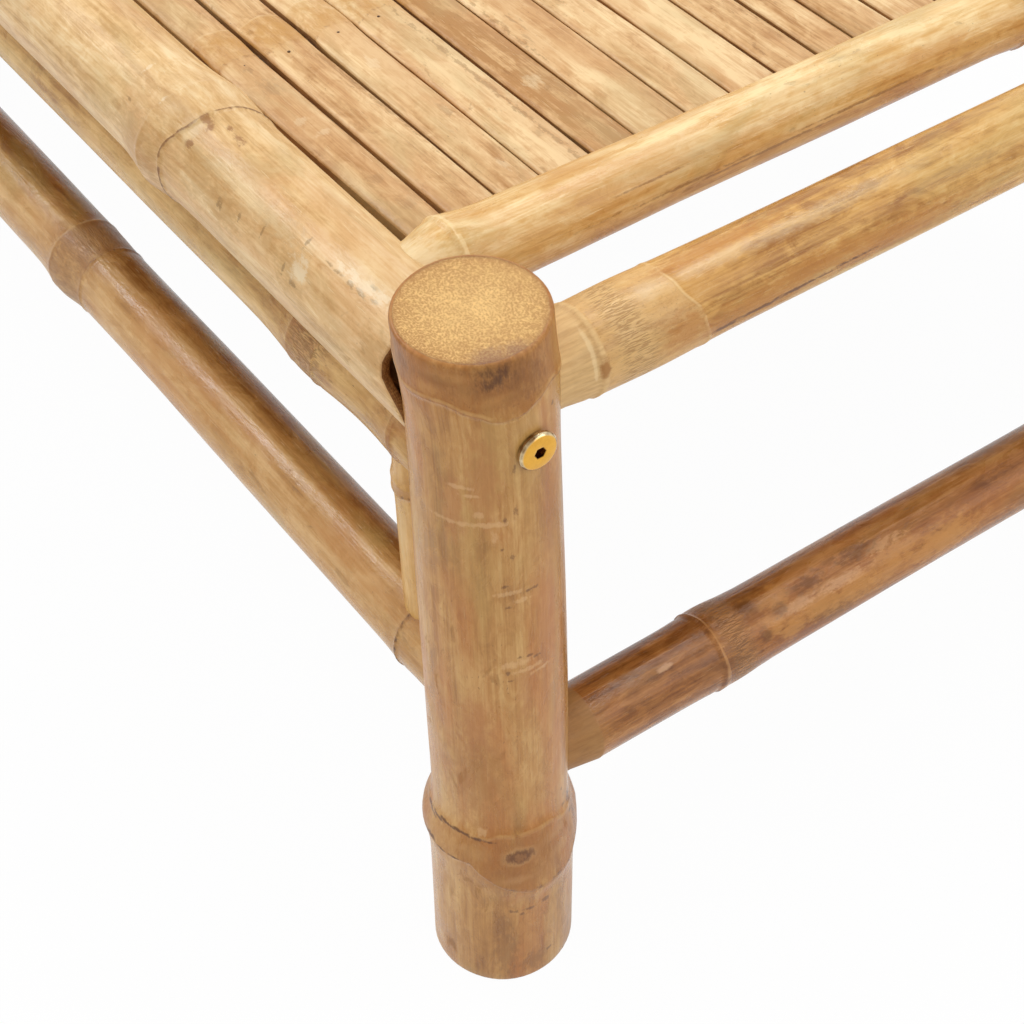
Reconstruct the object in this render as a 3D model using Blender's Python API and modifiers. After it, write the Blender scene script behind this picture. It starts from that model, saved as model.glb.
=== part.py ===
"""Bamboo sun lounger with a reclining back, in metres, +Z up.

The foot end is at +X, the head end at -X. A person lying on it, face up, has the right side at -Y.
The origin is on the floor, under the middle of the lounger.

Two end frames (legs, end rail, stretcher) are bolted to two side frames (rail, sub-rail, stretcher,
spindles). Cross bearers between the side frames carry the split-bamboo seat slats. The back is a
panel of its own on two stiles, hinged on a pole between the sub-rails. A prop frame pegged to the
stiles carries a foot bar, which runs over two notched racks and locks the back at several angles.
"""

import math

import bmesh
import bpy
from mathutils import Matrix, Vector

# Overall size, over the outer faces of the legs
LENGTH = 2.000
WIDTH = 0.650
LEG_HEIGHT = 0.382

# Outer diameters of the culms, the bamboo poles
LEG_DIAMETER = 0.060
SIDE_RAIL_DIAMETER = 0.052
SUB_RAIL_DIAMETER = 0.029
SIDE_STRETCHER_DIAMETER = 0.038
END_RAIL_DIAMETER = 0.037
END_STRETCHER_DIAMETER = 0.036
COVER_POLE_DIAMETER = 0.032
SEAT_BEARER_DIAMETER = 0.026
UNDER_BEARER_DIAMETER = 0.028
SPINDLE_DIAMETER = 0.023
STILE_DIAMETER = 0.028
HINGE_POLE_DIAMETER = 0.028
PROP_ARM_DIAMETER = 0.018
FOOT_BAR_DIAMETER = 0.024

# Heights of the culm axes above the floor
RAIL_HEIGHT = 0.342
SIDE_STRETCHER_HEIGHT = 0.178
END_STRETCHER_HEIGHT = 0.121

# Clearances: FIT_GAP between pieces that seat on each other, the rest beside what moves
FIT_GAP = 0.0003
HINGE_GAP = 0.0004
STILE_CLEARANCE = 0.004
PROP_CLEARANCE = 0.003
BAR_LIFT = 0.0007

# Rings, the swollen joints of a culm
RING_SPACING = 0.360
COVER_RING_SPACING = 0.300
RING_HALF_WIDTH = 0.016
RING_SWELL = 0.080
RING_END_MARGIN = 0.055

# First ring of each pole, from the axis of the foot legs or, on a cross pole, of the right legs
SIDE_RAIL_RING = 0.212
SUB_RAIL_RING = 0.106
SIDE_STRETCHER_RING = 0.366
END_RAIL_RING = 0.080
END_STRETCHER_RING = 0.127
COVER_POLE_RING = 0.035
BEARER_RING = 0.110
STILE_RING = 0.150
OTHER_POLE_SHIFT = 0.075

# Leg: an open stump below its ring, and a top sawn above a closed one
STUMP_WALL = 0.009
STUMP_DEPTH = 0.055
STUMP_SWELL = 0.0015
LEG_RING_HEIGHT = 0.090
LEG_RING_HALF_WIDTH = 0.020
LEG_RING_CREST = 0.004
LEG_RING_SWELL = 0.0035
LEG_BOTTOM_EDGE = 0.0015
LEG_TOP_EDGE = 0.005

# Tenons: the whittled ends of the poles that are let into the legs
TENON_SHARE = 0.80
TENON_END_FROM_LEG_AXIS = 0.014
TENON_PAST_FACE = 0.0015
WHITTLE_LENGTH = 0.015

# Side rail ends: coped flatter than the leg is round, and hollow as a sawn culm is
COPE_RADIUS = 0.038
SIDE_RAIL_BORE = 0.034
SIDE_RAIL_BORE_DEPTH = 0.030

# Furniture bolts with a flat head and a hexagon socket
BOLT_HEAD_DIAMETER = 0.017
BOLT_HEAD_THICKNESS = 0.003
BOLT_HEAD_CHAMFER = 0.0006
BOLT_SHANK_DIAMETER = 0.006
SOCKET_ACROSS_FLATS = 0.0044
SOCKET_DEPTH = 0.0028
CORNER_BOLT_GRIP = 0.030
CORNER_BOLT_INWARD = 0.0065
CORNER_BOLT_BELOW_RAIL = 0.007
HINGE_BOLT_GRIP = 0.040

# Slats, from the right to the left; their widths are shares of the deck's width
SLAT_THICKNESS = 0.008
SLAT_CROWN = 0.0012
SLAT_GAP = 0.0022
SLAT_EDGE_FROM_LEG_AXIS = 0.0365
SLAT_SHARES = (248, 247, 233, 265, 235, 285, 250, 262, 248, 220, 245, 270, 280, 260, 285, 270, 265, 250, 280, 272)
SLATS_PER_CULM = 5
SLAT_RING_FROM_LEG_AXIS = 0.275
SLAT_RING_STEP = 0.001
SLAT_RING_HALF_WIDTH = 0.014
SLAT_RING_RISE = 0.0012
SLAT_RING_SPACING = 0.350
SLAT_RING_END_MARGIN = 0.050
CULM_TO_CULM_SHARE = 0.370
COVER_POLE_FROM_LEG_AXIS = 0.066
SLAT_PAST_COVER_POLE = -0.003

# Where the deck divides into seat and back
HINGE_FROM_HEAD_LEG_AXIS = 0.735
SEAT_SLAT_HINGE_GAP = 0.029
BACK_SLAT_HINGE_GAP = 0.013

# Cross bearers under the seat
FOOT_BEARER_FROM_LEG_AXIS = 0.257
HINGE_BEARER_FROM_HINGE = 0.075

# Spindles stand beside each leg, between the sub-rail and the stretcher
SPINDLE_FROM_LEG_AXIS = 0.0425
SPINDLE_RING_FROM_TOP = 0.030

# Back: flat battens under its slats, two stiles under those, and what they lie on
BATTENS_FROM_HINGE = (0.085, 0.370, 0.635)
BATTEN_WIDTH = 0.030
BATTEN_THICKNESS = 0.0095
BATTEN_BITE = 0.0005
STILE_LENGTH = 0.685
BACK_SUPPORT_FROM_HINGE = 0.665
UNDER_BEARER_PAST_SIDE = 0.010

# Prop: its arms are as long as their pegs are far from the hinge, so the foot bar keeps one height
PROP_REACH = 0.310
PROP_TAIL = 0.012
PROP_TAIL_ROUND = 0.003
PEG_DIAMETER = 0.008
PEG_INTO_STILE = 0.014

# Racks: notched battens that the foot bar runs over
RACK_WIDTH = 0.022
RACK_HEIGHT = 0.030
RACK_FROM_PROP_ARM = 0.030
RACK_EDGE = 0.002
RACK_LAP = 0.008
RACK_BEARER_FROM_HINGE = 0.265
NOTCH_DEPTH = 0.0062
NOTCH_ANGLES_DEG = (25.0, 37.5, 50.0, 60.0)

# Sides of the round pieces
LEG_SIDES = 18
RAIL_SIDES = 16
POLE_SIDES = 12
THIN_SIDES = 10
BOLT_SIDES = 10
HOLE_SIDES = 8
HEXAGON = 6
FLAT_ANGLE = math.radians(0.01)

# Places that follow from the sizes
LEG_RADIUS = LEG_DIAMETER / 2
LEG_X = LENGTH / 2 - LEG_RADIUS
LEG_Y = WIDTH / 2 - LEG_RADIUS
LEG_TENON_LENGTH = LEG_RADIUS + TENON_PAST_FACE - TENON_END_FROM_LEG_AXIS
SUB_RAIL_HEIGHT = RAIL_HEIGHT - (SIDE_RAIL_DIAMETER + SUB_RAIL_DIAMETER) / 2 - FIT_GAP
RAIL_LENGTH = 2 * LEG_X
STRETCHER_LENGTH = 2 * (LEG_X - TENON_END_FROM_LEG_AXIS)
HINGE_X = HINGE_FROM_HEAD_LEG_AXIS - LEG_X
HINGE_HEIGHT = SUB_RAIL_HEIGHT
BATTEN_BOTTOM = HINGE_HEIGHT + STILE_DIAMETER / 2 + FIT_GAP
SLAT_BOTTOM = BATTEN_BOTTOM + BATTEN_THICKNESS
DECK_HEIGHT = SLAT_BOTTOM + SLAT_THICKNESS
DECK_HALF_WIDTH = LEG_Y - SLAT_EDGE_FROM_LEG_AXIS
COVER_POLE_HEIGHT = DECK_HEIGHT + COVER_POLE_DIAMETER / 2 + FIT_GAP
FOOT_COVER_X = LEG_X - COVER_POLE_FROM_LEG_AXIS
BACK_COVER_X = -FOOT_COVER_X
FOOT_BEARER_X = LEG_X - FOOT_BEARER_FROM_LEG_AXIS
HINGE_BEARER_X = HINGE_X + HINGE_BEARER_FROM_HINGE
HINGE_POLE_HALF = LEG_Y - SUB_RAIL_DIAMETER / 2 - STILE_CLEARANCE / 2
STILE_Y = LEG_Y - SIDE_RAIL_DIAMETER / 2 - STILE_CLEARANCE - STILE_DIAMETER / 2
BACK_HALF_WIDTH = LEG_Y - SIDE_RAIL_DIAMETER / 2 - STILE_CLEARANCE
PROP_ARM_Y = STILE_Y - STILE_DIAMETER / 2 - PROP_CLEARANCE - PROP_ARM_DIAMETER / 2
PEG_X = HINGE_X - PROP_REACH
PEG_END_Y = STILE_Y - STILE_DIAMETER / 2 + PEG_INTO_STILE
FOOT_BAR_X = PEG_X - PROP_REACH
FOOT_BAR_HALF = PROP_ARM_Y + PROP_ARM_DIAMETER / 2
UNDER_BEARER_HALF = LEG_Y + UNDER_BEARER_PAST_SIDE
BACK_SUPPORT_X = HINGE_X - BACK_SUPPORT_FROM_HINGE
BACK_SUPPORT_HEIGHT = HINGE_HEIGHT - (STILE_DIAMETER + UNDER_BEARER_DIAMETER) / 2 - FIT_GAP
RACK_BEARER_X = HINGE_X - RACK_BEARER_FROM_HINGE
RACK_BEARER_HEIGHT = SUB_RAIL_HEIGHT - (SUB_RAIL_DIAMETER + UNDER_BEARER_DIAMETER) / 2 - FIT_GAP
RACK_Y = PROP_ARM_Y - RACK_FROM_PROP_ARM
RACK_TOP = HINGE_HEIGHT - FOOT_BAR_DIAMETER / 2 - BAR_LIFT

# Sides and ends of the lounger, each with its sign along Y or X
SIDES = (("right", -1), ("left", 1))
ENDS = (("foot", 1), ("head", -1))

ALONG_X = Vector((1, 0, 0))
ALONG_Y = Vector((0, 1, 0))
UPRIGHT = Vector((0, 0, 1))


# Scene, collections and materials


def clear_scene():
    for old in list(bpy.data.objects):
        bpy.data.objects.remove(old)


def new_collection(name):
    collection = bpy.data.collections.new(name)
    bpy.context.scene.collection.children.link(collection)
    return collection


clear_scene()
PARTS = new_collection("sun_lounger")
CUTTERS = new_collection("cutters")


def linear(hex_colour):
    """An sRGB colour written as RRGGBB, as the linear values that a shader takes."""
    channels = [int(hex_colour[i : i + 2], 16) / 255 for i in (0, 2, 4)]
    return [c / 12.92 if c <= 0.04045 else ((c + 0.055) / 1.055) ** 2.4 for c in channels] + [1.0]


def principled(name, hex_colour, roughness, metallic=0.0):
    material = bpy.data.materials.new(name)
    material.use_nodes = True
    shader = material.node_tree.nodes["Principled BSDF"]
    shader.inputs["Base Color"].default_value = linear(hex_colour)
    shader.inputs["Roughness"].default_value = roughness
    shader.inputs["Metallic"].default_value = metallic
    return material


LEG_BAMBOO = principled("leg_bamboo", "B98F60", 0.42)
POLE_BAMBOO = principled("pole_bamboo", "C49A62", 0.38)
DARK_BAMBOO = principled("dark_bamboo", "9A6636", 0.35)
SLAT_BAMBOO = principled("slat_bamboo", "D2AE7A", 0.50)
HARDWOOD = principled("rack_hardwood", "A8794A", 0.55)
BRASS = principled("brass_plated_steel", "D9A441", 0.22, 1.0)


# Turned, boxed and cut solids


def as_part(obj, material):
    obj.data.materials.append(material)
    PARTS.objects.link(obj)
    return obj


def as_cutter(obj):
    CUTTERS.objects.link(obj)
    obj.hide_render = True
    obj.display_type = "WIRE"
    return obj


def turned(name, profile, sides, at, along, material=None):
    """A solid of revolution from (distance, radius) pairs, the start first. A cutter has no material."""
    closed = [(profile[0][0], 0.0), *profile, (profile[-1][0], 0.0)]
    points = [(radius, 0.0, distance) for distance, radius in reversed(closed)]
    mesh = bpy.data.meshes.new(name)
    mesh.from_pydata(points, [(i, i + 1) for i in range(len(points) - 1)], [])
    obj = bpy.data.objects.new(name, mesh)
    obj.rotation_mode = "QUATERNION"
    obj.rotation_quaternion = UPRIGHT.rotation_difference(along)
    obj.location = at
    spin = obj.modifiers.new("turn", "SCREW")
    spin.steps = spin.render_steps = sides
    spin.use_merge_vertices = True
    spin.merge_threshold = 0.00001
    spin.use_smooth_shade = True
    return as_part(obj, material) if material else as_cutter(obj)


def cylinder_cutter(name, radius, start, end, sides):
    """A cylinder between two points. Its flats, not its corners, lie at the radius."""
    axis = Vector(end) - Vector(start)
    outer = radius / math.cos(math.pi / sides)
    return turned(name, [(0.0, outer), (axis.length, outer)], sides, start, axis.normalized())


def box_object(name, low, high):
    bm = bmesh.new()
    matrix = Matrix.Translation((low + high) / 2) @ Matrix.Diagonal((*(high - low), 1.0))
    bmesh.ops.create_cube(bm, size=1.0, matrix=matrix)
    mesh = bpy.data.meshes.new(name)
    bm.to_mesh(mesh)
    bm.free()
    return bpy.data.objects.new(name, mesh)


def boolean(obj, other, operation="DIFFERENCE"):
    step = obj.modifiers.new(other.name, "BOOLEAN")
    step.operation = operation
    step.solver = "EXACT"
    step.object = other


# Culms


def ring_distances(length, first, spacing=RING_SPACING):
    """Where the rings of a culm lie along it, clear of its far end."""
    count = int((length - RING_END_MARGIN - first) / spacing) + 1
    return [first + i * spacing for i in range(max(count, 0))]


def culm_profile(length, radius, rings, tenon=0.0):
    """A culm with swollen rings and, if tenon is their straight length, with whittled ends."""
    middle = []
    for ring in rings:
        middle.append((ring - RING_HALF_WIDTH, radius))
        middle.append((ring, radius * (1 + RING_SWELL)))
        middle.append((ring + RING_HALF_WIDTH, radius))
    if not tenon:
        return [(0.0, radius), *middle, (length, radius)]
    slim = radius * TENON_SHARE
    shoulder = tenon + WHITTLE_LENGTH
    start = [(0.0, slim), (tenon, slim), (shoulder, radius)]
    end = [(length - shoulder, radius), (length - tenon, slim), (length, slim)]
    return [*start, *middle, *end]


def culm(name, diameter, at, along, length, rings, material=POLE_BAMBOO, sides=POLE_SIDES, tenon=0.0):
    profile = culm_profile(length, diameter / 2, rings, tenon)
    return turned(name, profile, sides, at, along, material)


def scribe_cutter(name, diameter, at, along, length, rings):
    """The culm again with a fit gap round it, to cut what is scribed to it."""
    radius = diameter / 2 / math.cos(math.pi / RAIL_SIDES) + FIT_GAP
    return turned(name, culm_profile(length, radius, rings), RAIL_SIDES, at, along)


def leg_cutter(name, end_sign, side_sign, radius, offset=0.0):
    """A tall upright cylinder at a leg, moved outwards by the offset."""
    low = Vector((end_sign * (LEG_X + offset), side_sign * LEG_Y, -LEG_HEIGHT))
    return cylinder_cutter(name, radius, low, low + UPRIGHT * LEG_HEIGHT * 3, LEG_SIDES)


def plane_flat(pole, x, low_z, high_z):
    """Planes a cross pole flat, where slats lie on it or it lies on them."""
    low = Vector((x - COVER_POLE_DIAMETER, -WIDTH, low_z))
    high = Vector((x + COVER_POLE_DIAMETER, WIDTH, high_z))
    boolean(pole, as_cutter(box_object(f"{pole.name}_plane", low, high)))


# Bolts


def make_bolt(name, head_at, inward, length):
    """The head lies outside the point head_at, and the shank runs inward from it."""
    head = BOLT_HEAD_DIAMETER / 2
    profile = [
        (-BOLT_HEAD_THICKNESS, head - BOLT_HEAD_CHAMFER),
        (-BOLT_HEAD_THICKNESS + BOLT_HEAD_CHAMFER, head),
        (-BOLT_HEAD_CHAMFER, head),
        (0.0, head - BOLT_HEAD_CHAMFER),
        (0.0, BOLT_SHANK_DIAMETER / 2),
        (length, BOLT_SHANK_DIAMETER / 2),
    ]
    bolt = turned(name, profile, BOLT_SIDES, head_at, inward, BRASS)
    top = head_at - inward * BOLT_HEAD_THICKNESS
    start = top - inward * BOLT_HEAD_THICKNESS
    end = top + inward * SOCKET_DEPTH
    boolean(bolt, cylinder_cutter(f"{name}_socket", SOCKET_ACROSS_FLATS / 2, start, end, HEXAGON))


def bolt_hole(name, head_at, inward, length):
    radius = BOLT_SHANK_DIAMETER / 2 + FIT_GAP
    start = head_at - inward * BOLT_HEAD_DIAMETER
    end = head_at + inward * (length + FIT_GAP)
    return cylinder_cutter(name, radius, start, end, HOLE_SIDES)


# Legs, each with its corner bolt


def leg_profile():
    stump = LEG_RADIUS + STUMP_SWELL
    crest = LEG_RADIUS + LEG_RING_SWELL
    return [
        (0.0, stump - LEG_BOTTOM_EDGE),
        (LEG_BOTTOM_EDGE, stump),
        (LEG_RING_HEIGHT - LEG_RING_HALF_WIDTH, stump),
        (LEG_RING_HEIGHT - LEG_RING_CREST, crest),
        (LEG_RING_HEIGHT + LEG_RING_CREST, crest),
        (LEG_RING_HEIGHT + LEG_RING_HALF_WIDTH, LEG_RADIUS),
        (LEG_HEIGHT - LEG_TOP_EDGE, LEG_RADIUS),
        (LEG_HEIGHT - LEG_TOP_EDGE * 0.3, LEG_RADIUS - LEG_TOP_EDGE * 0.3),
        (LEG_HEIGHT, LEG_RADIUS - LEG_TOP_EDGE),
    ]


def mortise(leg, name, diameter, height, outward):
    """A blind round hole for a tenon, from the tenon's end out through the leg's face."""
    radius = diameter / 2 * TENON_SHARE + FIT_GAP
    level = leg.location + UPRIGHT * height
    start = level + outward * (TENON_END_FROM_LEG_AXIS - FIT_GAP)
    end = level + outward * LEG_DIAMETER
    boolean(leg, cylinder_cutter(f"{leg.name}_{name}", radius, start, end, HOLE_SIDES))


def make_leg(end_name, end_sign, side_name, side_sign):
    """The leg and its bolt. Returns the cutter for the bolt's hole, which the side rail needs too."""
    where = f"{end_name}_{side_name}"
    at = Vector((end_sign * LEG_X, side_sign * LEG_Y, 0.0))
    leg = turned(f"leg_{where}", leg_profile(), LEG_SIDES, at, UPRIGHT, LEG_BAMBOO)
    stump_bore = LEG_RADIUS + STUMP_SWELL - STUMP_WALL
    below = at - UPRIGHT * STUMP_DEPTH
    above = at + UPRIGHT * STUMP_DEPTH
    boolean(leg, cylinder_cutter(f"stump_bore_{where}", stump_bore, below, above, RAIL_SIDES))
    across = ALONG_Y * -side_sign
    inward = ALONG_X * -end_sign
    mortise(leg, "end_rail_mortise", END_RAIL_DIAMETER, RAIL_HEIGHT, across)
    mortise(leg, "end_stretcher_mortise", END_STRETCHER_DIAMETER, END_STRETCHER_HEIGHT, across)
    mortise(leg, "side_stretcher_mortise", SIDE_STRETCHER_DIAMETER, SIDE_STRETCHER_HEIGHT, inward)
    head_at = at + across * CORNER_BOLT_INWARD - inward * (LEG_RADIUS + FIT_GAP)
    head_at.z = RAIL_HEIGHT - CORNER_BOLT_BELOW_RAIL
    length = LEG_DIAMETER + SIDE_RAIL_BORE_DEPTH + CORNER_BOLT_GRIP
    hole = bolt_hole(f"bolt_hole_{where}", head_at, inward, length)
    boolean(leg, hole)
    make_bolt(f"corner_bolt_{where}", head_at, inward, length)
    return hole


BOLT_HOLES = {
    (end_name, side_name): make_leg(end_name, end_sign, side_name, side_sign)
    for end_name, end_sign in ENDS
    for side_name, side_sign in SIDES
}


# End frames


def make_end_pole(name, end_sign, diameter, height, ring_from_leg, material):
    half = LEG_Y - TENON_END_FROM_LEG_AXIS
    first_ring = ring_from_leg - TENON_END_FROM_LEG_AXIS + OTHER_POLE_SHIFT * (end_sign < 0)
    rings = ring_distances(2 * half, first_ring)
    start = Vector((end_sign * LEG_X, -half, height))
    culm(name, diameter, start, ALONG_Y, 2 * half, rings, material, tenon=LEG_TENON_LENGTH)


for end_name, end_sign in ENDS:
    make_end_pole(f"end_rail_{end_name}", end_sign, END_RAIL_DIAMETER, RAIL_HEIGHT, END_RAIL_RING, POLE_BAMBOO)
    make_end_pole(
        f"end_stretcher_{end_name}", end_sign, END_STRETCHER_DIAMETER, END_STRETCHER_HEIGHT,
        END_STRETCHER_RING, DARK_BAMBOO,
    )


# Side frames

# The long poles: name, diameter, height, length and first ring
SIDE_POLES = (
    ("side_rail", SIDE_RAIL_DIAMETER, RAIL_HEIGHT, RAIL_LENGTH, SIDE_RAIL_RING),
    ("sub_rail", SUB_RAIL_DIAMETER, SUB_RAIL_HEIGHT, RAIL_LENGTH, SUB_RAIL_RING),
    (
        "side_stretcher", SIDE_STRETCHER_DIAMETER, SIDE_STRETCHER_HEIGHT, STRETCHER_LENGTH,
        SIDE_STRETCHER_RING - TENON_END_FROM_LEG_AXIS,
    ),
)


def make_side_poles(side_name, side_sign):
    """The poles of one side, which start at the foot end, and cutters for what is scribed to them."""
    poles = {}
    scribes = {}
    for name, diameter, height, length, first_ring in SIDE_POLES:
        start = Vector((length / 2, side_sign * LEG_Y, height))
        rings = ring_distances(length, first_ring + OTHER_POLE_SHIFT * (side_sign > 0))
        tenon = LEG_TENON_LENGTH if name == "side_stretcher" else 0.0
        sides = RAIL_SIDES if name == "side_rail" else POLE_SIDES
        whole_name = f"{name}_{side_name}"
        poles[name] = culm(whole_name, diameter, start, -ALONG_X, length, rings, sides=sides, tenon=tenon)
        scribes[name] = scribe_cutter(f"{whole_name}_scribe", diameter, start, -ALONG_X, length, rings)
    return poles, scribes


def finish_side_rail(rail, side_name, side_sign):
    """The thick rail is hollow. Its coped ends touch the legs at the middle and gape at the flanks."""
    for end_name, end_sign in ENDS:
        where = f"{end_name}_{side_name}"
        cope = leg_cutter(
            f"side_rail_cope_{where}", end_sign, side_sign, COPE_RADIUS + FIT_GAP, COPE_RADIUS - LEG_RADIUS
        )
        boolean(rail, cope)
        mouth = Vector((end_sign * LEG_X, side_sign * LEG_Y, RAIL_HEIGHT))
        bottom = mouth - ALONG_X * end_sign * (LEG_RADIUS + SIDE_RAIL_BORE_DEPTH)
        boolean(rail, cylinder_cutter(f"side_rail_bore_{where}", SIDE_RAIL_BORE / 2, mouth, bottom, POLE_SIDES))
        boolean(rail, BOLT_HOLES[end_name, side_name])


def finish_sub_rail(sub_rail, side_rail_scribe, side_name, side_sign):
    """The thinner rail is scribed to the thick one, coped to the legs and drilled for the hinge bolt."""
    boolean(sub_rail, side_rail_scribe)
    for end_name, end_sign in ENDS:
        name = f"sub_rail_cope_{end_name}_{side_name}"
        boolean(sub_rail, leg_cutter(name, end_sign, side_sign, LEG_RADIUS + FIT_GAP))
    outer_face = LEG_Y + SUB_RAIL_DIAMETER / 2
    head_at = Vector((HINGE_X, side_sign * (outer_face + FIT_GAP), HINGE_HEIGHT))
    inward = ALONG_Y * -side_sign
    length = outer_face - HINGE_POLE_HALF + HINGE_BOLT_GRIP
    boolean(sub_rail, bolt_hole(f"hinge_bolt_hole_{side_name}", head_at, inward, length))
    make_bolt(f"hinge_bolt_{side_name}", head_at, inward, length)


def make_spindle(end_name, end_sign, side_name, side_sign, scribes):
    """An upright between the stretcher and the sub-rail, saddled on both."""
    start = Vector((end_sign * (LEG_X - SPINDLE_FROM_LEG_AXIS), side_sign * LEG_Y, SIDE_STRETCHER_HEIGHT))
    length = SUB_RAIL_HEIGHT - SIDE_STRETCHER_HEIGHT
    ring = length - SUB_RAIL_DIAMETER / 2 - SPINDLE_RING_FROM_TOP
    where = f"{end_name}_{side_name}"
    spindle = culm(f"spindle_{where}", SPINDLE_DIAMETER, start, UPRIGHT, length, [ring], sides=THIN_SIDES)
    boolean(spindle, scribes["sub_rail"])
    boolean(spindle, scribes["side_stretcher"])
    boolean(spindle, leg_cutter(f"spindle_relief_{where}", end_sign, side_sign, LEG_RADIUS + FIT_GAP))


SCRIBES = {}
for side_name, side_sign in SIDES:
    poles, SCRIBES[side_name] = make_side_poles(side_name, side_sign)
    finish_side_rail(poles["side_rail"], side_name, side_sign)
    finish_sub_rail(poles["sub_rail"], SCRIBES[side_name]["side_rail"], side_name, side_sign)
    for end_name, end_sign in ENDS:
        make_spindle(end_name, end_sign, side_name, side_sign, SCRIBES[side_name])


# Cross bearers


def seat_bearer(number, x):
    """A pole under the seat slats, coped to the rail and the sub-rail at both ends."""
    start = Vector((x, -LEG_Y, SLAT_BOTTOM - FIT_GAP - SEAT_BEARER_DIAMETER / 2))
    rings = ring_distances(2 * LEG_Y, BEARER_RING + OTHER_POLE_SHIFT * number)
    name = f"seat_bearer_{number}"
    bearer = culm(name, SEAT_BEARER_DIAMETER, start, ALONG_Y, 2 * LEG_Y, rings, sides=THIN_SIDES)
    plane_flat(bearer, x, SLAT_BOTTOM - FIT_GAP, SLAT_BOTTOM + SEAT_BEARER_DIAMETER)
    for scribes in SCRIBES.values():
        boolean(bearer, scribes["side_rail"])
        boolean(bearer, scribes["sub_rail"])


def under_bearer(name, x, height, first_ring):
    """A pole let up to the undersides of both sub-rails. Returns the cutter for the racks on it."""
    start = Vector((x, -UNDER_BEARER_HALF, height))
    length = 2 * UNDER_BEARER_HALF
    rings = ring_distances(length, first_ring)
    bearer = culm(name, UNDER_BEARER_DIAMETER, start, ALONG_Y, length, rings, sides=THIN_SIDES)
    for scribes in SCRIBES.values():
        boolean(bearer, scribes["sub_rail"])
    return scribe_cutter(f"{name}_scribe", UNDER_BEARER_DIAMETER, start, ALONG_Y, length, rings)


seat_bearer(1, FOOT_BEARER_X)
seat_bearer(2, (FOOT_BEARER_X + HINGE_BEARER_X) / 2)
seat_bearer(3, HINGE_BEARER_X)
RACK_SCRIBES = [
    under_bearer("back_support_pole", BACK_SUPPORT_X, BACK_SUPPORT_HEIGHT, BEARER_RING),
    under_bearer("rack_bearer", RACK_BEARER_X, RACK_BEARER_HEIGHT, BEARER_RING + OTHER_POLE_SHIFT),
]


# Cover poles, on the ends of the slats


def cover_pole(name, x, half_length, first_ring):
    start = Vector((x, -half_length, COVER_POLE_HEIGHT))
    rings = ring_distances(2 * half_length, first_ring, COVER_RING_SPACING)
    pole = culm(name, COVER_POLE_DIAMETER, start, ALONG_Y, 2 * half_length, rings)
    plane_flat(pole, x, 0.0, DECK_HEIGHT + FIT_GAP)
    return pole


foot_cover = cover_pole("foot_cover_pole", FOOT_COVER_X, LEG_Y, COVER_POLE_RING)
for scribes in SCRIBES.values():
    boolean(foot_cover, scribes["side_rail"])
cover_pole("back_cover_pole", BACK_COVER_X, BACK_HALF_WIDTH, COVER_POLE_RING + OTHER_POLE_SHIFT)


# Slats


def slat_spans():
    """(middle, width) of each slat across the deck, from the right to the left."""
    scale = 2 * DECK_HALF_WIDTH / sum(SLAT_SHARES)
    edge = -DECK_HALF_WIDTH
    spans = []
    for share in SLAT_SHARES:
        pitch = share * scale
        spans.append((edge + pitch / 2, pitch - SLAT_GAP))
        edge += pitch
    return spans


def slat_rings(index, low, high):
    """Where a slat's rings lie. Slats split from one culm have theirs nearly side by side."""
    along_culm = SLAT_RING_STEP * (index % SLATS_PER_CULM)
    culm_shift = CULM_TO_CULM_SHARE * (index // SLATS_PER_CULM) % 1.0 * SLAT_RING_SPACING
    x = LEG_X - SLAT_RING_FROM_LEG_AXIS + along_culm - culm_shift + SLAT_RING_SPACING
    rings = []
    while x > low + SLAT_RING_END_MARGIN:
        if x < high - SLAT_RING_END_MARGIN:
            rings.append(x)
        x -= SLAT_RING_SPACING
    return rings


def cross_cut(bm, at, normal):
    geometry = bm.verts[:] + bm.edges[:] + bm.faces[:]
    bmesh.ops.bisect_plane(bm, geom=geometry, dist=1e-7, plane_co=at, plane_no=normal)


def slat_object(name, low, high, middle, width, rings):
    """A strip split from a culm: crowned on top, with its edges a little higher at each ring."""
    bm = bmesh.new()
    size = (high - low, width, SLAT_THICKNESS, 1.0)
    centre = Vector(((low + high) / 2, middle, DECK_HEIGHT - SLAT_THICKNESS / 2))
    bmesh.ops.create_cube(bm, size=1.0, matrix=Matrix.Translation(centre) @ Matrix.Diagonal(size))
    cross_cut(bm, centre, ALONG_Y)
    for ring in rings:
        for step in (-SLAT_RING_HALF_WIDTH, 0.0, SLAT_RING_HALF_WIDTH):
            cross_cut(bm, Vector((ring + step, middle, 0.0)), ALONG_X)
    top_edges = [v for v in bm.verts if v.co.z > centre.z and abs(v.co.y - middle) > width / 4]
    for vert in top_edges:
        on_ring = any(abs(vert.co.x - ring) < 1e-5 for ring in rings)
        vert.co.z -= SLAT_CROWN - SLAT_RING_RISE * on_ring
    bmesh.ops.dissolve_limit(bm, angle_limit=FLAT_ANGLE, verts=bm.verts[:], edges=bm.edges[:])
    mesh = bpy.data.meshes.new(name)
    bm.to_mesh(mesh)
    bm.free()
    return bpy.data.objects.new(name, mesh)


def make_seat_slats():
    low = HINGE_X + SEAT_SLAT_HINGE_GAP
    high = FOOT_COVER_X + SLAT_PAST_COVER_POLE
    for index, (middle, width) in enumerate(slat_spans()):
        rings = slat_rings(index, low, high)
        slat = slat_object(f"seat_slat_{index + 1:02d}", low, high, middle, width, rings)
        as_part(slat, SLAT_BAMBOO)


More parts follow.
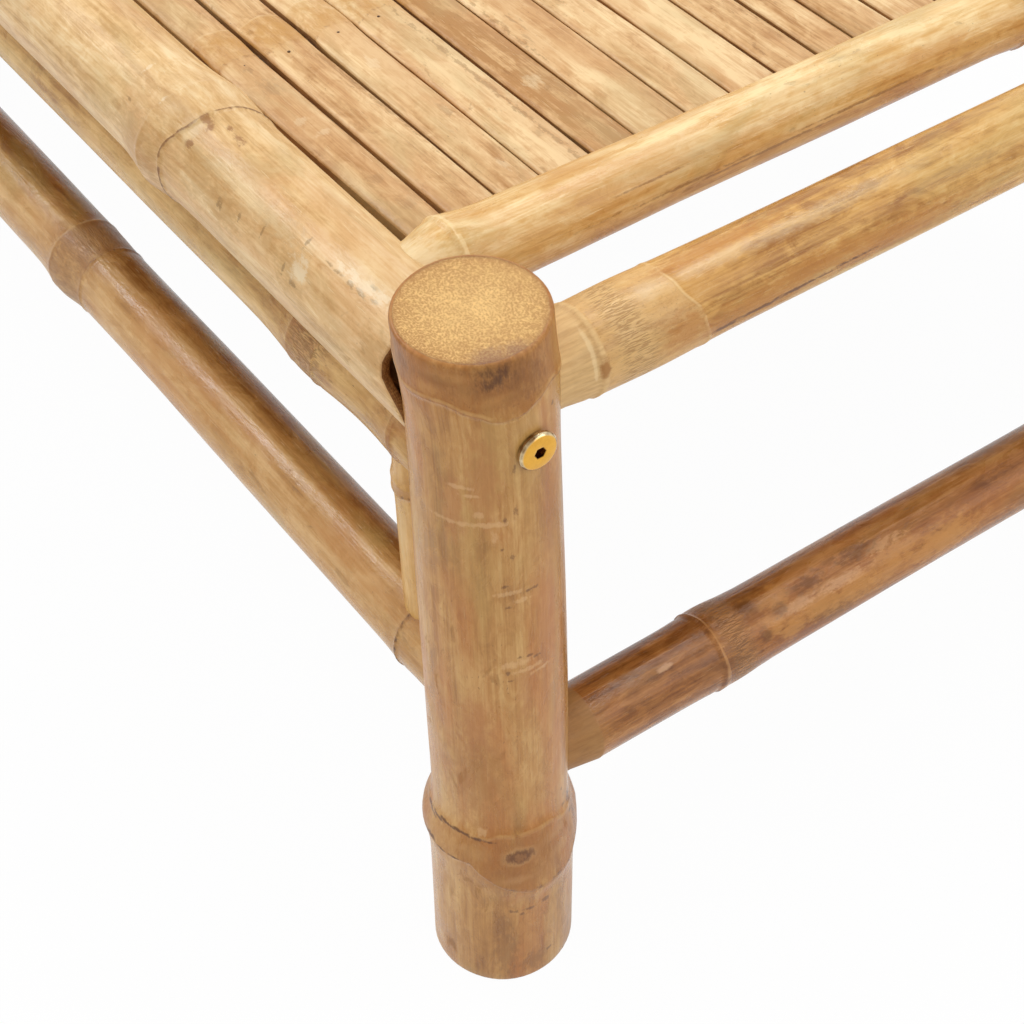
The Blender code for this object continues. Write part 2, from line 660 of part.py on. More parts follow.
def back_batten(number, distance):
    x = HINGE_X - distance
    low = Vector((x - BATTEN_WIDTH / 2, -DECK_HALF_WIDTH + SLAT_GAP, BATTEN_BOTTOM))
    high = Vector((x + BATTEN_WIDTH / 2, DECK_HALF_WIDTH - SLAT_GAP, SLAT_BOTTOM + BATTEN_BITE))
    return box_object(f"back_batten_{number}", low, high)


def make_back_panel():
    """The back's battens and slats as one solid, because the object has more pieces than nodes."""
    low = BACK_COVER_X - SLAT_PAST_COVER_POLE
    high = HINGE_X + BACK_SLAT_HINGE_GAP
    panel, *others = [back_batten(number, distance) for number, distance in enumerate(BATTENS_FROM_HINGE)]
    panel.name = "back_slat_panel"
    as_part(panel, SLAT_BAMBOO)
    for index, (middle, width) in enumerate(slat_spans()):
        rings = slat_rings(index, low, high)
        others.append(slat_object(f"back_slat_{index + 1:02d}", low, high, middle, width, rings))
    for other in others:
        boolean(panel, as_cutter(other), "UNION")


make_seat_slats()
make_back_panel()


# Back frame: a pole that turns on the hinge bolts, and two stiles coped to it


def across_cutter(name, x, height, diameter, gap=FIT_GAP):
    """A cylinder along Y, past both sides of the lounger, with a gap round the diameter."""
    start = Vector((x, -WIDTH, height))
    return cylinder_cutter(name, diameter / 2 + gap, start, start + ALONG_Y * 2 * WIDTH, RAIL_SIDES)


hinge_pole_start = Vector((HINGE_X, -HINGE_POLE_HALF, HINGE_HEIGHT))
hinge_pole_rings = ring_distances(2 * HINGE_POLE_HALF, BEARER_RING)
hinge_pole = culm(
    "back_hinge_pole", HINGE_POLE_DIAMETER, hinge_pole_start, ALONG_Y, 2 * HINGE_POLE_HALF, hinge_pole_rings
)
stile_cope = across_cutter("stile_cope", HINGE_X, HINGE_HEIGHT, HINGE_POLE_DIAMETER)


def make_hinge_bore(side_name, side_sign):
    mouth = Vector((HINGE_X, side_sign * (HINGE_POLE_HALF + FIT_GAP), HINGE_HEIGHT))
    bottom = Vector((HINGE_X, side_sign * (HINGE_POLE_HALF - HINGE_BOLT_GRIP - FIT_GAP), HINGE_HEIGHT))
    radius = BOLT_SHANK_DIAMETER / 2 + HINGE_GAP
    boolean(hinge_pole, cylinder_cutter(f"hinge_bore_{side_name}", radius, mouth, bottom, POLE_SIDES))


def make_stile(side_name, side_sign):
    start = Vector((HINGE_X, side_sign * STILE_Y, HINGE_HEIGHT))
    rings = ring_distances(STILE_LENGTH, STILE_RING + OTHER_POLE_SHIFT * (side_sign > 0))
    stile = culm(f"back_stile_{side_name}", STILE_DIAMETER, start, -ALONG_X, STILE_LENGTH, rings)
    boolean(stile, stile_cope)
    mouth = Vector((PEG_X, side_sign * PROP_ARM_Y, HINGE_HEIGHT))
    bottom = Vector((PEG_X, side_sign * (PEG_END_Y + FIT_GAP), HINGE_HEIGHT))
    radius = PEG_DIAMETER / 2 + HINGE_GAP
    boolean(stile, cylinder_cutter(f"peg_bore_{side_name}", radius, mouth, bottom, POLE_SIDES))


for side_name, side_sign in SIDES:
    make_hinge_bore(side_name, side_sign)
    make_stile(side_name, side_sign)


# Prop frame: two arms, each with its peg, and the foot bar between their ends

arm_cope = across_cutter("arm_cope", FOOT_BAR_X, HINGE_HEIGHT, FOOT_BAR_DIAMETER)


def make_prop_arm(side_name, side_sign):
    radius = PROP_ARM_DIAMETER / 2
    length = PROP_REACH + PROP_TAIL
    start = Vector((PEG_X + PROP_TAIL, side_sign * PROP_ARM_Y, HINGE_HEIGHT))
    body = culm_profile(length, radius, [length / 2])[1:]
    profile = [(0.0, radius - PROP_TAIL_ROUND), (PROP_TAIL_ROUND, radius), *body]
    arm = turned(f"prop_arm_{side_name}", profile, THIN_SIDES, start, -ALONG_X, POLE_BAMBOO)
    peg_start = Vector((PEG_X, side_sign * PROP_ARM_Y, HINGE_HEIGHT))
    peg_length = PEG_END_Y - PROP_ARM_Y
    peg_profile = [(0.0, PEG_DIAMETER / 2), (peg_length, PEG_DIAMETER / 2)]
    peg = turned(f"peg_{side_name}", peg_profile, THIN_SIDES, peg_start, ALONG_Y * side_sign)
    boolean(arm, peg, "UNION")
    boolean(arm, arm_cope)


for side_name, side_sign in SIDES:
    make_prop_arm(side_name, side_sign)

foot_bar_start = Vector((FOOT_BAR_X, -FOOT_BAR_HALF, HINGE_HEIGHT))
foot_bar_rings = ring_distances(2 * FOOT_BAR_HALF, BEARER_RING)
culm("prop_foot_bar", FOOT_BAR_DIAMETER, foot_bar_start, ALONG_Y, 2 * FOOT_BAR_HALF, foot_bar_rings)


# Racks: hardwood battens, notched where the foot bar stands at each angle of the back


def notch_cutter(angle_deg):
    x = HINGE_X - 2 * PROP_REACH * math.cos(math.radians(angle_deg))
    height = RACK_TOP - NOTCH_DEPTH + FOOT_BAR_DIAMETER / 2 + 2 * FIT_GAP
    return across_cutter(f"notch_{angle_deg:g}", x, height, FOOT_BAR_DIAMETER, 2 * FIT_GAP)


NOTCHES = [notch_cutter(angle) for angle in NOTCH_ANGLES_DEG]


def make_rack(side_name, side_sign):
    """A batten with bevelled edges whose ends lap over the two bearers under it."""
    y = side_sign * RACK_Y
    low = Vector((BACK_SUPPORT_X + RACK_LAP, y - RACK_WIDTH / 2, RACK_TOP - RACK_HEIGHT))
    high = Vector((RACK_BEARER_X - RACK_LAP, y + RACK_WIDTH / 2, RACK_TOP))
    rack = as_part(box_object(f"rack_{side_name}", low, high), HARDWOOD)
    edge = rack.modifiers.new("edges", "BEVEL")
    edge.width = RACK_EDGE
    edge.segments = 1
    for cutter in RACK_SCRIBES + NOTCHES:
        boolean(rack, cutter)


for side_name, side_sign in SIDES:
    make_rack(side_name, side_sign)
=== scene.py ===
import functools
import math
import random

import bmesh
import bpy
from mathutils import Matrix, Vector, noise


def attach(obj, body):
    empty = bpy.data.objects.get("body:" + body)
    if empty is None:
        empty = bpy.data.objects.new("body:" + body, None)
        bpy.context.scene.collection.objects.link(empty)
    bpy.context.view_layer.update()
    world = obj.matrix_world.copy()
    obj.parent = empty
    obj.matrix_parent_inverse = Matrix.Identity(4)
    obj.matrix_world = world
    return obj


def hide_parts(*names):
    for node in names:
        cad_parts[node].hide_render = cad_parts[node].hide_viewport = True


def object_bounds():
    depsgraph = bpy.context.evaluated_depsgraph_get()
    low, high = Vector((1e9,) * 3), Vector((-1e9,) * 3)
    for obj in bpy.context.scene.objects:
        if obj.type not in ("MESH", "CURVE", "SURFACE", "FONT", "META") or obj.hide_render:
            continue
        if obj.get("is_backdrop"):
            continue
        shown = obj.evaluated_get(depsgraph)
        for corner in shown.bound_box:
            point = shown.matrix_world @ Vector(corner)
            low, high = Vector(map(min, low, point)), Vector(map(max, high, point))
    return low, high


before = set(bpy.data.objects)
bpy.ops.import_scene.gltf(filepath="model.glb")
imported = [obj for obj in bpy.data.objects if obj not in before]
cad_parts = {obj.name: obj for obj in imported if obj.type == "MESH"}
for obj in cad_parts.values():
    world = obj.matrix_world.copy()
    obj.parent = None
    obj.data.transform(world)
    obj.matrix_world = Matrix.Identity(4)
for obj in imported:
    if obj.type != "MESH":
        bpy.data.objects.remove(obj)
cad_low, cad_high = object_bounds()


# Camera: stands off the foot end's right corner and looks down at 45 degrees.
# Worked out from the photograph's straight lines; the lens follows from the same lines.

CAMERA_PLACE = (1.4655, -0.6163, 0.8725)
CAMERA_RIGHT = Vector((0.57832, 0.81550, -0.02188))
CAMERA_TOWARD = Vector((-0.5858431, 0.3964956, -0.706809))

scene = bpy.context.scene
camera = bpy.data.objects.new("photo_camera", bpy.data.cameras.new("photo_camera"))
scene.collection.objects.link(camera)
scene.camera = camera
camera.data.sensor_width = 36.0
camera.data.lens = 75.11
camera_turn = Matrix((CAMERA_RIGHT, CAMERA_RIGHT.cross(CAMERA_TOWARD), -CAMERA_TOWARD)).transposed()
camera.matrix_world = Matrix.Translation(CAMERA_PLACE) @ camera_turn.to_4x4()


# Studio: a white paper sweep, with even light from all round. Three soft boxes high up draw the narrow
# pale streaks along the side's poles, the end's and the end's low one; two broad ones fill the flanks.

WORLD_LIGHT = 0.60
PAPER_GLOW = 0.97
WHITE = (1.0, 1.0, 1.0, 1.0)
scene.view_settings.view_transform = "Standard"


def add(tree, kind, inputs=None, **settings):
    """Adds one node with its settings; an input is given a value, a socket, or a node for its first live output."""
    node = tree.nodes.new("ShaderNode" + kind)
    for name, value in settings.items():
        setattr(node, name, value)
    for name, value in (inputs or {}).items():
        if isinstance(value, bpy.types.Node):
            value = next(socket for socket in value.outputs if socket.enabled)
        if isinstance(value, bpy.types.NodeSocket):
            tree.links.new(value, node.inputs[name])
        else:
            node.inputs[name].default_value = value
    return node


def blank(name):
    """A new material and its empty node tree."""
    material = bpy.data.materials.new(name)
    material.use_nodes = True
    material.node_tree.nodes.clear()
    return material, material.node_tree


def seen_directly(tree):
    """1 for what the camera, a reflection or a transmitted ray sees, and 0 for light on the object."""
    path = add(tree, "LightPath")
    rays = [path.outputs[f"Is {kind} Ray"] for kind in ("Camera", "Glossy", "Transmission")]
    either = add(tree, "Math", {0: rays[0], 1: rays[1]}, operation="MAXIMUM")
    return add(tree, "Math", {0: either, 1: rays[2]}, operation="MAXIMUM")


scene.world = bpy.data.worlds.new("studio_air")
scene.world.use_nodes = True
sky = scene.world.node_tree
sky.nodes.clear()
strength = add(sky, "MapRange", {0: seen_directly(sky), 3: WORLD_LIGHT, 4: 1.0})
add(sky, "OutputWorld", {0: add(sky, "Background", {0: WHITE, 1: strength})})

bm = bmesh.new()
bmesh.ops.create_grid(bm, x_segments=1, y_segments=1, size=12.0)
floor = bpy.data.objects.new("floor", bpy.data.meshes.new("floor"))
bm.to_mesh(floor.data)
bm.free()
scene.collection.objects.link(floor)
sweep, tree = blank("white_paper_sweep")
paper = add(tree, "BsdfDiffuse", {0: (0.88, 0.88, 0.88, 1.0)})
glow = add(tree, "Emission", {0: WHITE, 1: 1.0})
share = add(tree, "Math", {0: seen_directly(tree), 1: PAPER_GLOW}, operation="MULTIPLY")
add(tree, "OutputMaterial", {0: add(tree, "MixShader", {0: share, 1: paper, 2: glow})})
floor.data.materials.append(sweep)
floor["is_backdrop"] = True

for name, place, target, width, height, power in (
        ("side_pole_soft_box", (-1.3, -1.0, 2.35), (0.9, -0.25, 0.3), 0.9, 0.75, 23.0),
        ("end_pole_soft_box", (0.36, 0.78, 2.35), (0.9, -0.25, 0.3), 0.8, 0.6, 13.5),
        ("low_pole_soft_box", (1.3, 0.67, 2.35), (0.97, -0.15, 0.12), 0.6, 0.35, 6.0),
        ("left_soft_box", (0.3, -2.6, 1.9), (0.8, -0.2, 0.25), 2.2, 1.5, 13.0),
        ("right_soft_box", (3.0, 0.9, 1.7), (0.8, 0.0, 0.2), 2.2, 1.4, 15.0)):
    lamp = bpy.data.objects.new(name, bpy.data.lights.new(name, "AREA"))
    lamp.data.shape = "RECTANGLE"
    lamp.data.size, lamp.data.size_y, lamp.data.energy = width, height, power
    aim = (Vector(target) - Vector(place)).to_track_quat("-Z", "Y")
    lamp.matrix_world = Matrix.Translation(place) @ aim.to_matrix().to_4x4()
    scene.collection.objects.link(lamp)


# Legs: four upright culms of thick bamboo with their waxy skin, varnished.
# Sawn just above a closed joint at the top; the foot is an open stump under the lower joint.

LEG_X, LEG_Y = 0.970, 0.295
LEG_HEIGHT = 0.382
LEG_RADIUS = 0.030
# The photographed leg stands this much further in than its round solid, and its top leans in further
LEG_INWARD = (0.0014, 0.0026)
TIP_START, TIP_X, TIP_Y = 0.345, 0.0012, -0.0016
STUMP_BORE, STUMP_DEPTH = 0.0225, 0.055
ENDS = (("foot", 1), ("head", -1))
SIDES = (("right", -1), ("left", 1))
# A culm's material slots, and what each point of a bamboo piece tells the skin about where it grew; shade also carries
# painted light and shade on some pieces
SKIN, SAWN, BORE = 0, 1, 2
PAINTED = ("line_a", "line_b", "band", "halo", "roots", "shade", "cut")


def linear(code):
    """A linear colour from an sRGB hex value."""
    parts = [int(code[i:i + 2], 16) / 255 for i in (0, 2, 4)]
    return (*(c / 12.92 if c <= 0.04045 else ((c + 0.055) / 1.055) ** 2.4 for c in parts), 1.0)


def marks_on(place, *kinds):
    """Each kind of mark: its colour, strength, softness and fraying, then its spots, laid out by one function."""
    return [(*kind[:4], [place(*spot) for spot in kind[4:]]) for kind in kinds]


def nearest_mark(tree, here, places):
    """How far the nearest mark's middle is, where 1 is that mark's edge; each is given by place and size."""
    nearest = 99.0
    for *middle, size_x, size_y, size_z in places:
        scale = [2000 / size for size in (size_x, size_y, size_z)]
        back = [-c * k for c, k in zip(middle, scale)]
        moved = add(tree, "VectorMath", {0: here, 1: scale, 2: back}, operation="MULTIPLY_ADD")
        away = add(tree, "VectorMath", {0: moved}, operation="LENGTH")
        nearest = add(tree, "Math", {0: away, 1: nearest}, operation="MINIMUM")
    return nearest


def laid_over(tree, colour, layers):
    """Each layer over the last: its colour, then the shares that make up how thick it lies."""
    for hue, thick, *shares in layers:
        for share in shares:
            thick = add(tree, "Math", {0: thick, 1: share}, operation="MULTIPLY")
        hue = linear(hue) if isinstance(hue, str) else hue
        colour = add(tree, "Mix", {0: thick, 6: colour, 7: hue}, data_type="RGBA")
    return colour


def summed(tree, total, terms):
    """Each source times its weight, added to the total."""
    for source, weight in terms:
        total = add(tree, "Math", {0: source, 1: weight, 2: total}, operation="MULTIPLY_ADD")
    return total


def bamboo_skin(name, dark, middle, pale, joint, scar, warm="BE7E3E", cool="B5A26C", contrast=1.0, stains=0.5,
                freckles=0.5, swirls=0.0, roughness=0.30, cut="E8C790", marks=()):
    """Bamboo's outer skin: a hard, smooth, slightly waxy rind under clear varnish. Fibres run all along
    it as fine lines, streaks and clouds, darker round the joints, where root scars and a sheath line show."""
    material, tree = blank(name)
    grain = add(tree, "Attribute", attribute_name="grain").outputs["Vector"]
    own = {key: add(tree, "Attribute", attribute_name=key).outputs["Fac"] for key in PAINTED}

    # What grows or wears in the grain. Each: millimetres across and along, the levels it comes in between,
    # octaves, roughness and bending (real fibres and scratches are 0.3 mm wide, drawn coarser to show)
    seen = {}
    for n, (key, across, along, low, high, octaves, rough, bent) in enumerate((
            ("clouds", 45, 220, 0.34, 0.66, 2, 0.5, 0.0),
            ("fields", 12, 80, 0.38, 0.62, 3, 0.5, 0.4),
            ("streaks", 4.0, 130, 0.36, 0.64, 3, 0.55, 0.0),
            ("fibres", 0.9, 34, 0.32, 0.68, 2, 0.5, 0.0),
            ("wear", 15, 45, 0.36, 0.64, 5, 0.62, 0.9),
            ("mottle", 6, 14, 0.36, 0.64, 5, 0.65, 0.9),
            ("warmth", 24, 110, 0.46, 0.64, 4, 0.55, 0.6),
            ("coolness", 28, 80, 0.48, 0.66, 4, 0.55, 0.6),
            ("swirls", 12, 34, 0.48, 0.62, 4, 0.6, 2.2),
            ("mould", 8, 22, 0.60, 0.68, 6, 0.65, 0.5),
            ("drifts", 50, 140, 0.46, 0.60, 2, 0.5, 0.0),
            ("specks", 1.0, 2.0, 0.69, 0.75, 2, 0.5, 0.0),
            ("scratches", 0.7, 14, 0.66, 0.73, 2, 0.5, 0.6),
            ("rootlets", 0.52, 4.5, 0.46, 0.58, 1, 0.5, 0.0),
            ("patches", 5, 9, 0.32, 0.62, 5, 0.65, 0.6),
            ("dots", 0.9, 1.3, 0.60, 0.70, 2, 0.5, 0.0),
            ("breaks", 10, 10, 0.36, 0.50, 2, 0.5, 0.0),
            ("waves", 2.5, 3.5, 0.2, 0.8, 3, 0.5, 0.0),
            ("open_fibres", 1.4, 18, 0.3, 0.75, 4, 0.55, 0.3),
            ("fray", 2.4, 5.0, 0.0, 1.0, 5, 0.7, 0.0))):
        scale, shift = (1000 / across, 1000 / across, 1000 / along), (7.0 * n, 3.0 * n, 5.0 * n)
        place = add(tree, "VectorMath", {0: grain, 1: scale, 2: shift}, operation="MULTIPLY_ADD")
        laid = add(tree, "TexNoise", {
            "Vector": place, "Scale": 1.0, "Detail": octaves, "Roughness": rough, "Distortion": bent})
        seen[key] = add(tree, "MapRange", {0: laid, 1: low, 2: high}, interpolation_type="SMOOTHSTEP")

    # Tone, from the shade given to the piece, its own tone and on some pieces painted light and shade, and what is
    # seen in the grain
    weights = {"clouds": 0.20, "fields": 0.24, "streaks": 0.20, "fibres": 0.20, "wear": 0.22, "mottle": 0.26}
    plain = 0.5 - 0.5 * contrast * sum(weights.values())
    grown = add(tree, "Math", {0: own["shade"], 1: 0.5, 2: plain}, operation="MULTIPLY_ADD")
    tone = summed(tree, grown, ((seen[key], weight * contrast) for key, weight in weights.items()))
    ramp = add(tree, "ValToRGB", {0: tone})
    first, last = ramp.color_ramp.elements
    first.position, first.color = 0.05, linear(dark)
    last.position, last.color = 0.95, linear(pale)
    ramp.color_ramp.elements.new(0.5).color = linear(middle)

    # A joint's two lines: a dark one with ragged edges, where the sheath sat, and a pale raised one
    ragged = add(tree, "Math", {0: seen["waves"], 1: 0.0009, 2: own["line_a"]}, operation="MULTIPLY_ADD")
    lines = []
    for away, outer, inner in ((ragged, 0.0014, 0.0006), (own["line_b"], 0.0011, 0.0004)):
        line = add(tree, "MapRange", {0: away, 1: outer, 2: inner}, interpolation_type="SMOOTHSTEP")
        lines.append(add(tree, "Math", {0: line, 1: seen["breaks"]}, operation="MULTIPLY"))
    dark_line, ridge = lines
    stroke = add(tree, "Math", {0: seen["rootlets"], 1: own["roots"]}, operation="MULTIPLY")
    mould = add(tree, "Math", {0: seen["mould"], 1: seen["drifts"]}, operation="MULTIPLY")
    fibrous = add(tree, "Math", {0: seen["open_fibres"], 1: 0.38}, operation="MULTIPLY")
    bare = add(tree, "Mix", {0: fibrous, 6: linear(cut), 7: linear(dark)}, data_type="RGBA")

    # Marks that stand at known places, each an oval with an uneven edge
    here = add(tree, "TexCoord").outputs["Object"]
    marked = []
    for hue, strength, soft, frayed, places in marks:
        away = nearest_mark(tree, here, places)
        edge = add(tree, "Math", {0: seen["fray"], 1: frayed, 2: away}, operation="MULTIPLY_ADD")
        rim = 1.0 + frayed * 0.5
        oval = add(tree, "MapRange", {0: edge, 1: rim + soft, 2: rim - soft}, interpolation_type="SMOOTHSTEP")
        marked.append((hue, strength, oval))

    colour = laid_over(tree, ramp, (
        (warm, seen["warmth"], 0.42), (cool, seen["coolness"], 0.30), (pale, seen["swirls"], swirls),
        (scar, mould, stains), (scar, seen["specks"], seen["drifts"], freckles), (pale, seen["scratches"], 0.40),
        (joint, own["halo"], seen["patches"]), (joint, own["band"], 0.45), (joint, own["band"], seen["patches"], 0.8),
        (scar, seen["dots"], own["band"], 0.45), (pale, own["roots"], 0.35), (scar, stroke, 0.46),
        (scar, dark_line, 0.80), (pale, ridge, 0.50), (bare, own["cut"], 0.80), *marked))

    # Varnish is smooth over the rind and dries dull over scars and cut wood; fibres stand up by hundredths
    # of a millimetre
    dull = add(tree, "Math", {0: seen["wear"], 1: 0.12, 2: roughness - 0.06}, operation="MULTIPLY_ADD")
    dull = summed(tree, dull, ((mould, 0.2), (own["band"], 0.10), (own["cut"], 0.25), (stroke, 0.2)))
    height = add(tree, "Math", {0: seen["fibres"], 1: 0.14}, operation="MULTIPLY")
    height = summed(tree, height, ((seen["streaks"], 0.3), (seen["scratches"], -0.3), (seen["mottle"], 0.35),
                                   (stroke, -0.8), (dark_line, -0.9), (ridge, 0.5)))
    bump = add(tree, "Bump", {"Height": height, "Strength": 0.6, "Distance": 0.00035})
    add(tree, "OutputMaterial", {0: add(tree, "BsdfPrincipled", {
        "Base Color": colour, "Roughness": dull, "Normal": bump, "IOR": 1.48, "Specular IOR Level": 0.36})})
    return material


def sawn_bamboo(name, ground, dot, rim, radius, burns=()):
    """Bamboo sawn across and varnished: fibre bundles show end-on as dark dots, crowded towards the rind."""
    material, tree = blank(name)
    grain = add(tree, "Attribute", attribute_name="grain").outputs["Vector"]
    flat = add(tree, "VectorMath", {0: grain, 1: (1.0, 1.0, 0.0)}, operation="MULTIPLY")
    out = add(tree, "VectorMath", {0: flat}, operation="LENGTH")
    # Bundles: real ones are 0.6 mm apart, drawn 0.7 mm apart to show, thicker towards the rind
    fine = add(tree, "VectorMath", {0: flat, 1: (1400.0, 1400.0, 0.0)}, operation="MULTIPLY")
    bundles = add(tree, "TexVoronoi", {"Vector": fine, "Scale": 1.0, "Randomness": 0.5})
    size = add(tree, "MapRange", {0: out, 1: 0.0, 2: radius, 3: 0.36, 4: 0.58})
    inside = add(tree, "Math", {0: size, 1: bundles.outputs["Distance"]}, operation="SUBTRACT")
    spot = add(tree, "MapRange", {0: inside, 1: -0.22, 2: 0.22}, interpolation_type="SMOOTHSTEP")
    blotch = add(tree, "TexNoise", {"Vector": flat, "Scale": 90.0, "Detail": 5.0, "Roughness": 0.6})
    patchy = add(tree, "MapRange", {0: blotch, 1: 0.36, 2: 0.64}, interpolation_type="SMOOTHSTEP")
    fray = add(tree, "TexNoise", {"Vector": flat, "Scale": 500.0, "Detail": 3.0, "Roughness": 0.65})
    outer, line = (add(tree, "MapRange", {0: out, 1: radius * low, 2: radius * high}, interpolation_type="SMOOTHSTEP")
                   for low, high in ((0.86, 1.0), (0.92, 0.97)))
    away = nearest_mark(tree, add(tree, "TexCoord").outputs["Object"], burns)
    edge = add(tree, "Math", {0: fray, 1: 2.0, 2: away}, operation="MULTIPLY_ADD")
    burnt = add(tree, "MapRange", {0: edge, 1: 2.8, 2: 1.2}, interpolation_type="SMOOTHSTEP")
    colour = add(tree, "Mix", {0: patchy, 6: linear(ground), 7: linear(rim)}, data_type="RGBA")
    colour = laid_over(tree, colour, (
        (ground, 0.80), (dot, spot, 0.80), (rim, outer, 0.35), (rim, outer, patchy, 0.7), ("6A4222", line, 0.45),
        ("7A5244", burnt, 0.55)))
    bump = add(tree, "Bump", {"Height": spot, "Strength": 0.4, "Distance": 0.0002}, invert=True)
    rough = add(tree, "MapRange", {0: spot, 3: 0.42, 4: 0.56})
    add(tree, "OutputMaterial", {0: add(tree, "BsdfPrincipled", {
        "Base Color": colour, "Roughness": rough, "Normal": bump, "IOR": 1.48, "Specular IOR Level": 0.4})})
    return material


def pattern(tree, place, size, low, high, octaves=3.0):
    """Uneven grey with features of so many millimetres along x, y and z, stretched from low and high to 0 and 1."""
    scaled = add(tree, "VectorMath", {0: place, 1: [1000 / mm for mm in size]}, operation="MULTIPLY")
    laid = add(tree, "TexNoise", {"Vector": scaled, "Scale": 1.0, "Detail": octaves})
    return add(tree, "MapRange", {0: laid, 1: low, 2: high}, interpolation_type="SMOOTHSTEP")


def bamboo_bore(name):
    """The inside of a culm: dull, unvarnished pith skin, brown with long faint streaks of 4 x 40 mm."""
    material, tree = blank(name)
    grain = add(tree, "Attribute", attribute_name="grain").outputs["Vector"]
    shown = pattern(tree, grain, (4, 4, 40), 0.3, 0.7, 4.0)
    colour = add(tree, "Mix", {0: shown, 6: linear("B88450"), 7: linear("8A5C32")}, data_type="RGBA")
    rough = add(tree, "MapRange", {0: shown, 3: 0.7, 4: 0.9})
    bump = add(tree, "Bump", {"Height": shown, "Strength": 0.4, "Distance": 0.0003})
    add(tree, "OutputMaterial", {0: add(tree, "BsdfPrincipled", {
        "Base Color": colour, "Roughness": rough, "Normal": bump, "IOR": 1.48})})
    return material


def ring(at, **own):
    """A joint of the culm at this distance along: wide apart its two lines, crest where it is thickest."""
    made = {"at": at, "wide": 0.010, "swell": 0.0022, "spread": 0.015, "ridge": 0.0004, "tint": 0.5, "halo": 0.4,
            "roots": 0.0, "roots_wide": 0.013, "line": 0.4, "edge": 0.3, "near": None, "far": None, "lop": None,
            "until": 0.0, **own}
    made.setdefault("crest", made["wide"] / 2)
    made.setdefault("roots_at", made["crest"] * 0.6)
    return made


def rings_along(first, length, spacing=0.36, **own):
    """Joints at an even spacing, as they grew."""
    count = int((length - 0.02 - first) / spacing) + 1
    return [ring(first + spacing * i, **own) for i in range(count)]


@functools.cache
def waviness(points, degrees):
    """Reads a wavy line round the culm, given as (degrees, millimetres) pairs, at one angle, in metres."""
    points = sorted(points)
    before = points[-1][0] - 360, points[-1][1]
    for after in [*points, (points[0][0] + 360, points[0][1])]:
        if degrees <= after[0]:
            way = (degrees - before[0]) / max(after[0] - before[0], 1e-6)
            eased = 0.5 - 0.5 * math.cos(math.pi * min(max(way, 0), 1))
            return (before[1] + (after[1] - before[1]) * eased) / 1000
        before = after
    return before[1] / 1000


def grown_line(chance):
    """A joint's line as it grows: tilted a little, with small waves."""
    tilt, turn = chance.uniform(0.4, 1.4), chance.uniform(0, 6.3)
    wave, phase = chance.uniform(0.2, 0.6), chance.uniform(0, 6.3)
    return tuple((d, tilt * math.cos(math.radians(d) - turn) + wave * math.sin(3 * math.radians(d) + phase)
                  + chance.uniform(-0.2, 0.2)) for d in range(-180, 180, 20))


def bell(distance, reach):
    """1 on the spot, falling off to nothing over about twice the reach."""
    return math.exp(-(distance / reach) ** 2)


def eased_in(value):
    return min(max(value, 0.0), 1.0)


# How far off counts as beside no line, how far a joint is felt, and the flats that whittling leaves
NO_LINE_NEAR = 0.2
JOINT_REACH = 0.06
FACETS, FACET_DEPTH = 7, 0.18


def profile(length, girth, rings, tips, rim):
    """Rows from one end to the other: distance along, distance from the axis, what the strip after it is."""
    spots = set()
    for r in rings:
        at, wide = r["at"], r["wide"]
        for step in (0.045, 0.030, 0.020, 0.013, 0.008, 0.005, 0.003, 0.0016, 0.0008):
            spots |= {at - step, at + wide + step}
        inner = max(2, round(wide / 0.0025))
        spots |= {at + wide * i / inner for i in range(inner + 1)}
        if wide > 0.003:
            spots |= {at + 0.0008, at + wide - 0.0008}
    for tip, place in ((tips[0], lambda d: d), (tips[1], lambda d: length - d)):
        spots |= {place(0.006), place(0.014), place(0.024)}
        if tip[0] == "tenon":
            _, _, reach, slope = tip
            spots |= {place(reach + d) for d in (0, slope * 0.5, slope, slope + 0.0015)}
    kept = []
    for t in sorted(s for s in spots if rim * 1.3 < s < length - rim * 1.3):
        if not kept or t - kept[-1] > 0.0003:
            while kept and t - kept[-1] > 0.045:
                kept.append(kept[-1] + 0.03)
            kept.append(t)

    parts = []
    for tip, r in ((tips[0], girth(0)), (tips[1], girth(length))):
        face = [(0.0, 0.0, SAWN), (0.0, r * 0.5, SAWN)]
        if tip[0] == "hollow":
            _, bore, depth = tip
            face = [(depth, 0.0, BORE), (depth, bore * 0.6, BORE), (depth, bore, BORE), (depth * 0.4, bore, BORE),
                    (0.001, bore, SAWN), (0.0, bore + 0.0006, SAWN)]
        rounded = ((0.0, 1.0, SAWN), (0.12, 0.5, SKIN), (0.45, 0.14, SKIN), (1.0, 0.0, SKIN))
        parts.append(face + [(rim * a, r - rim * b, kind) for a, b, kind in rounded])
    first, last = parts
    kinds = [SKIN] + [kind for _, _, kind in last][:-1][::-1]
    return (first + [(t, girth(t), SKIN) for t in kept]
            + [(length - t, w, kind) for (t, w, _), kind in zip(last[::-1], kinds)])


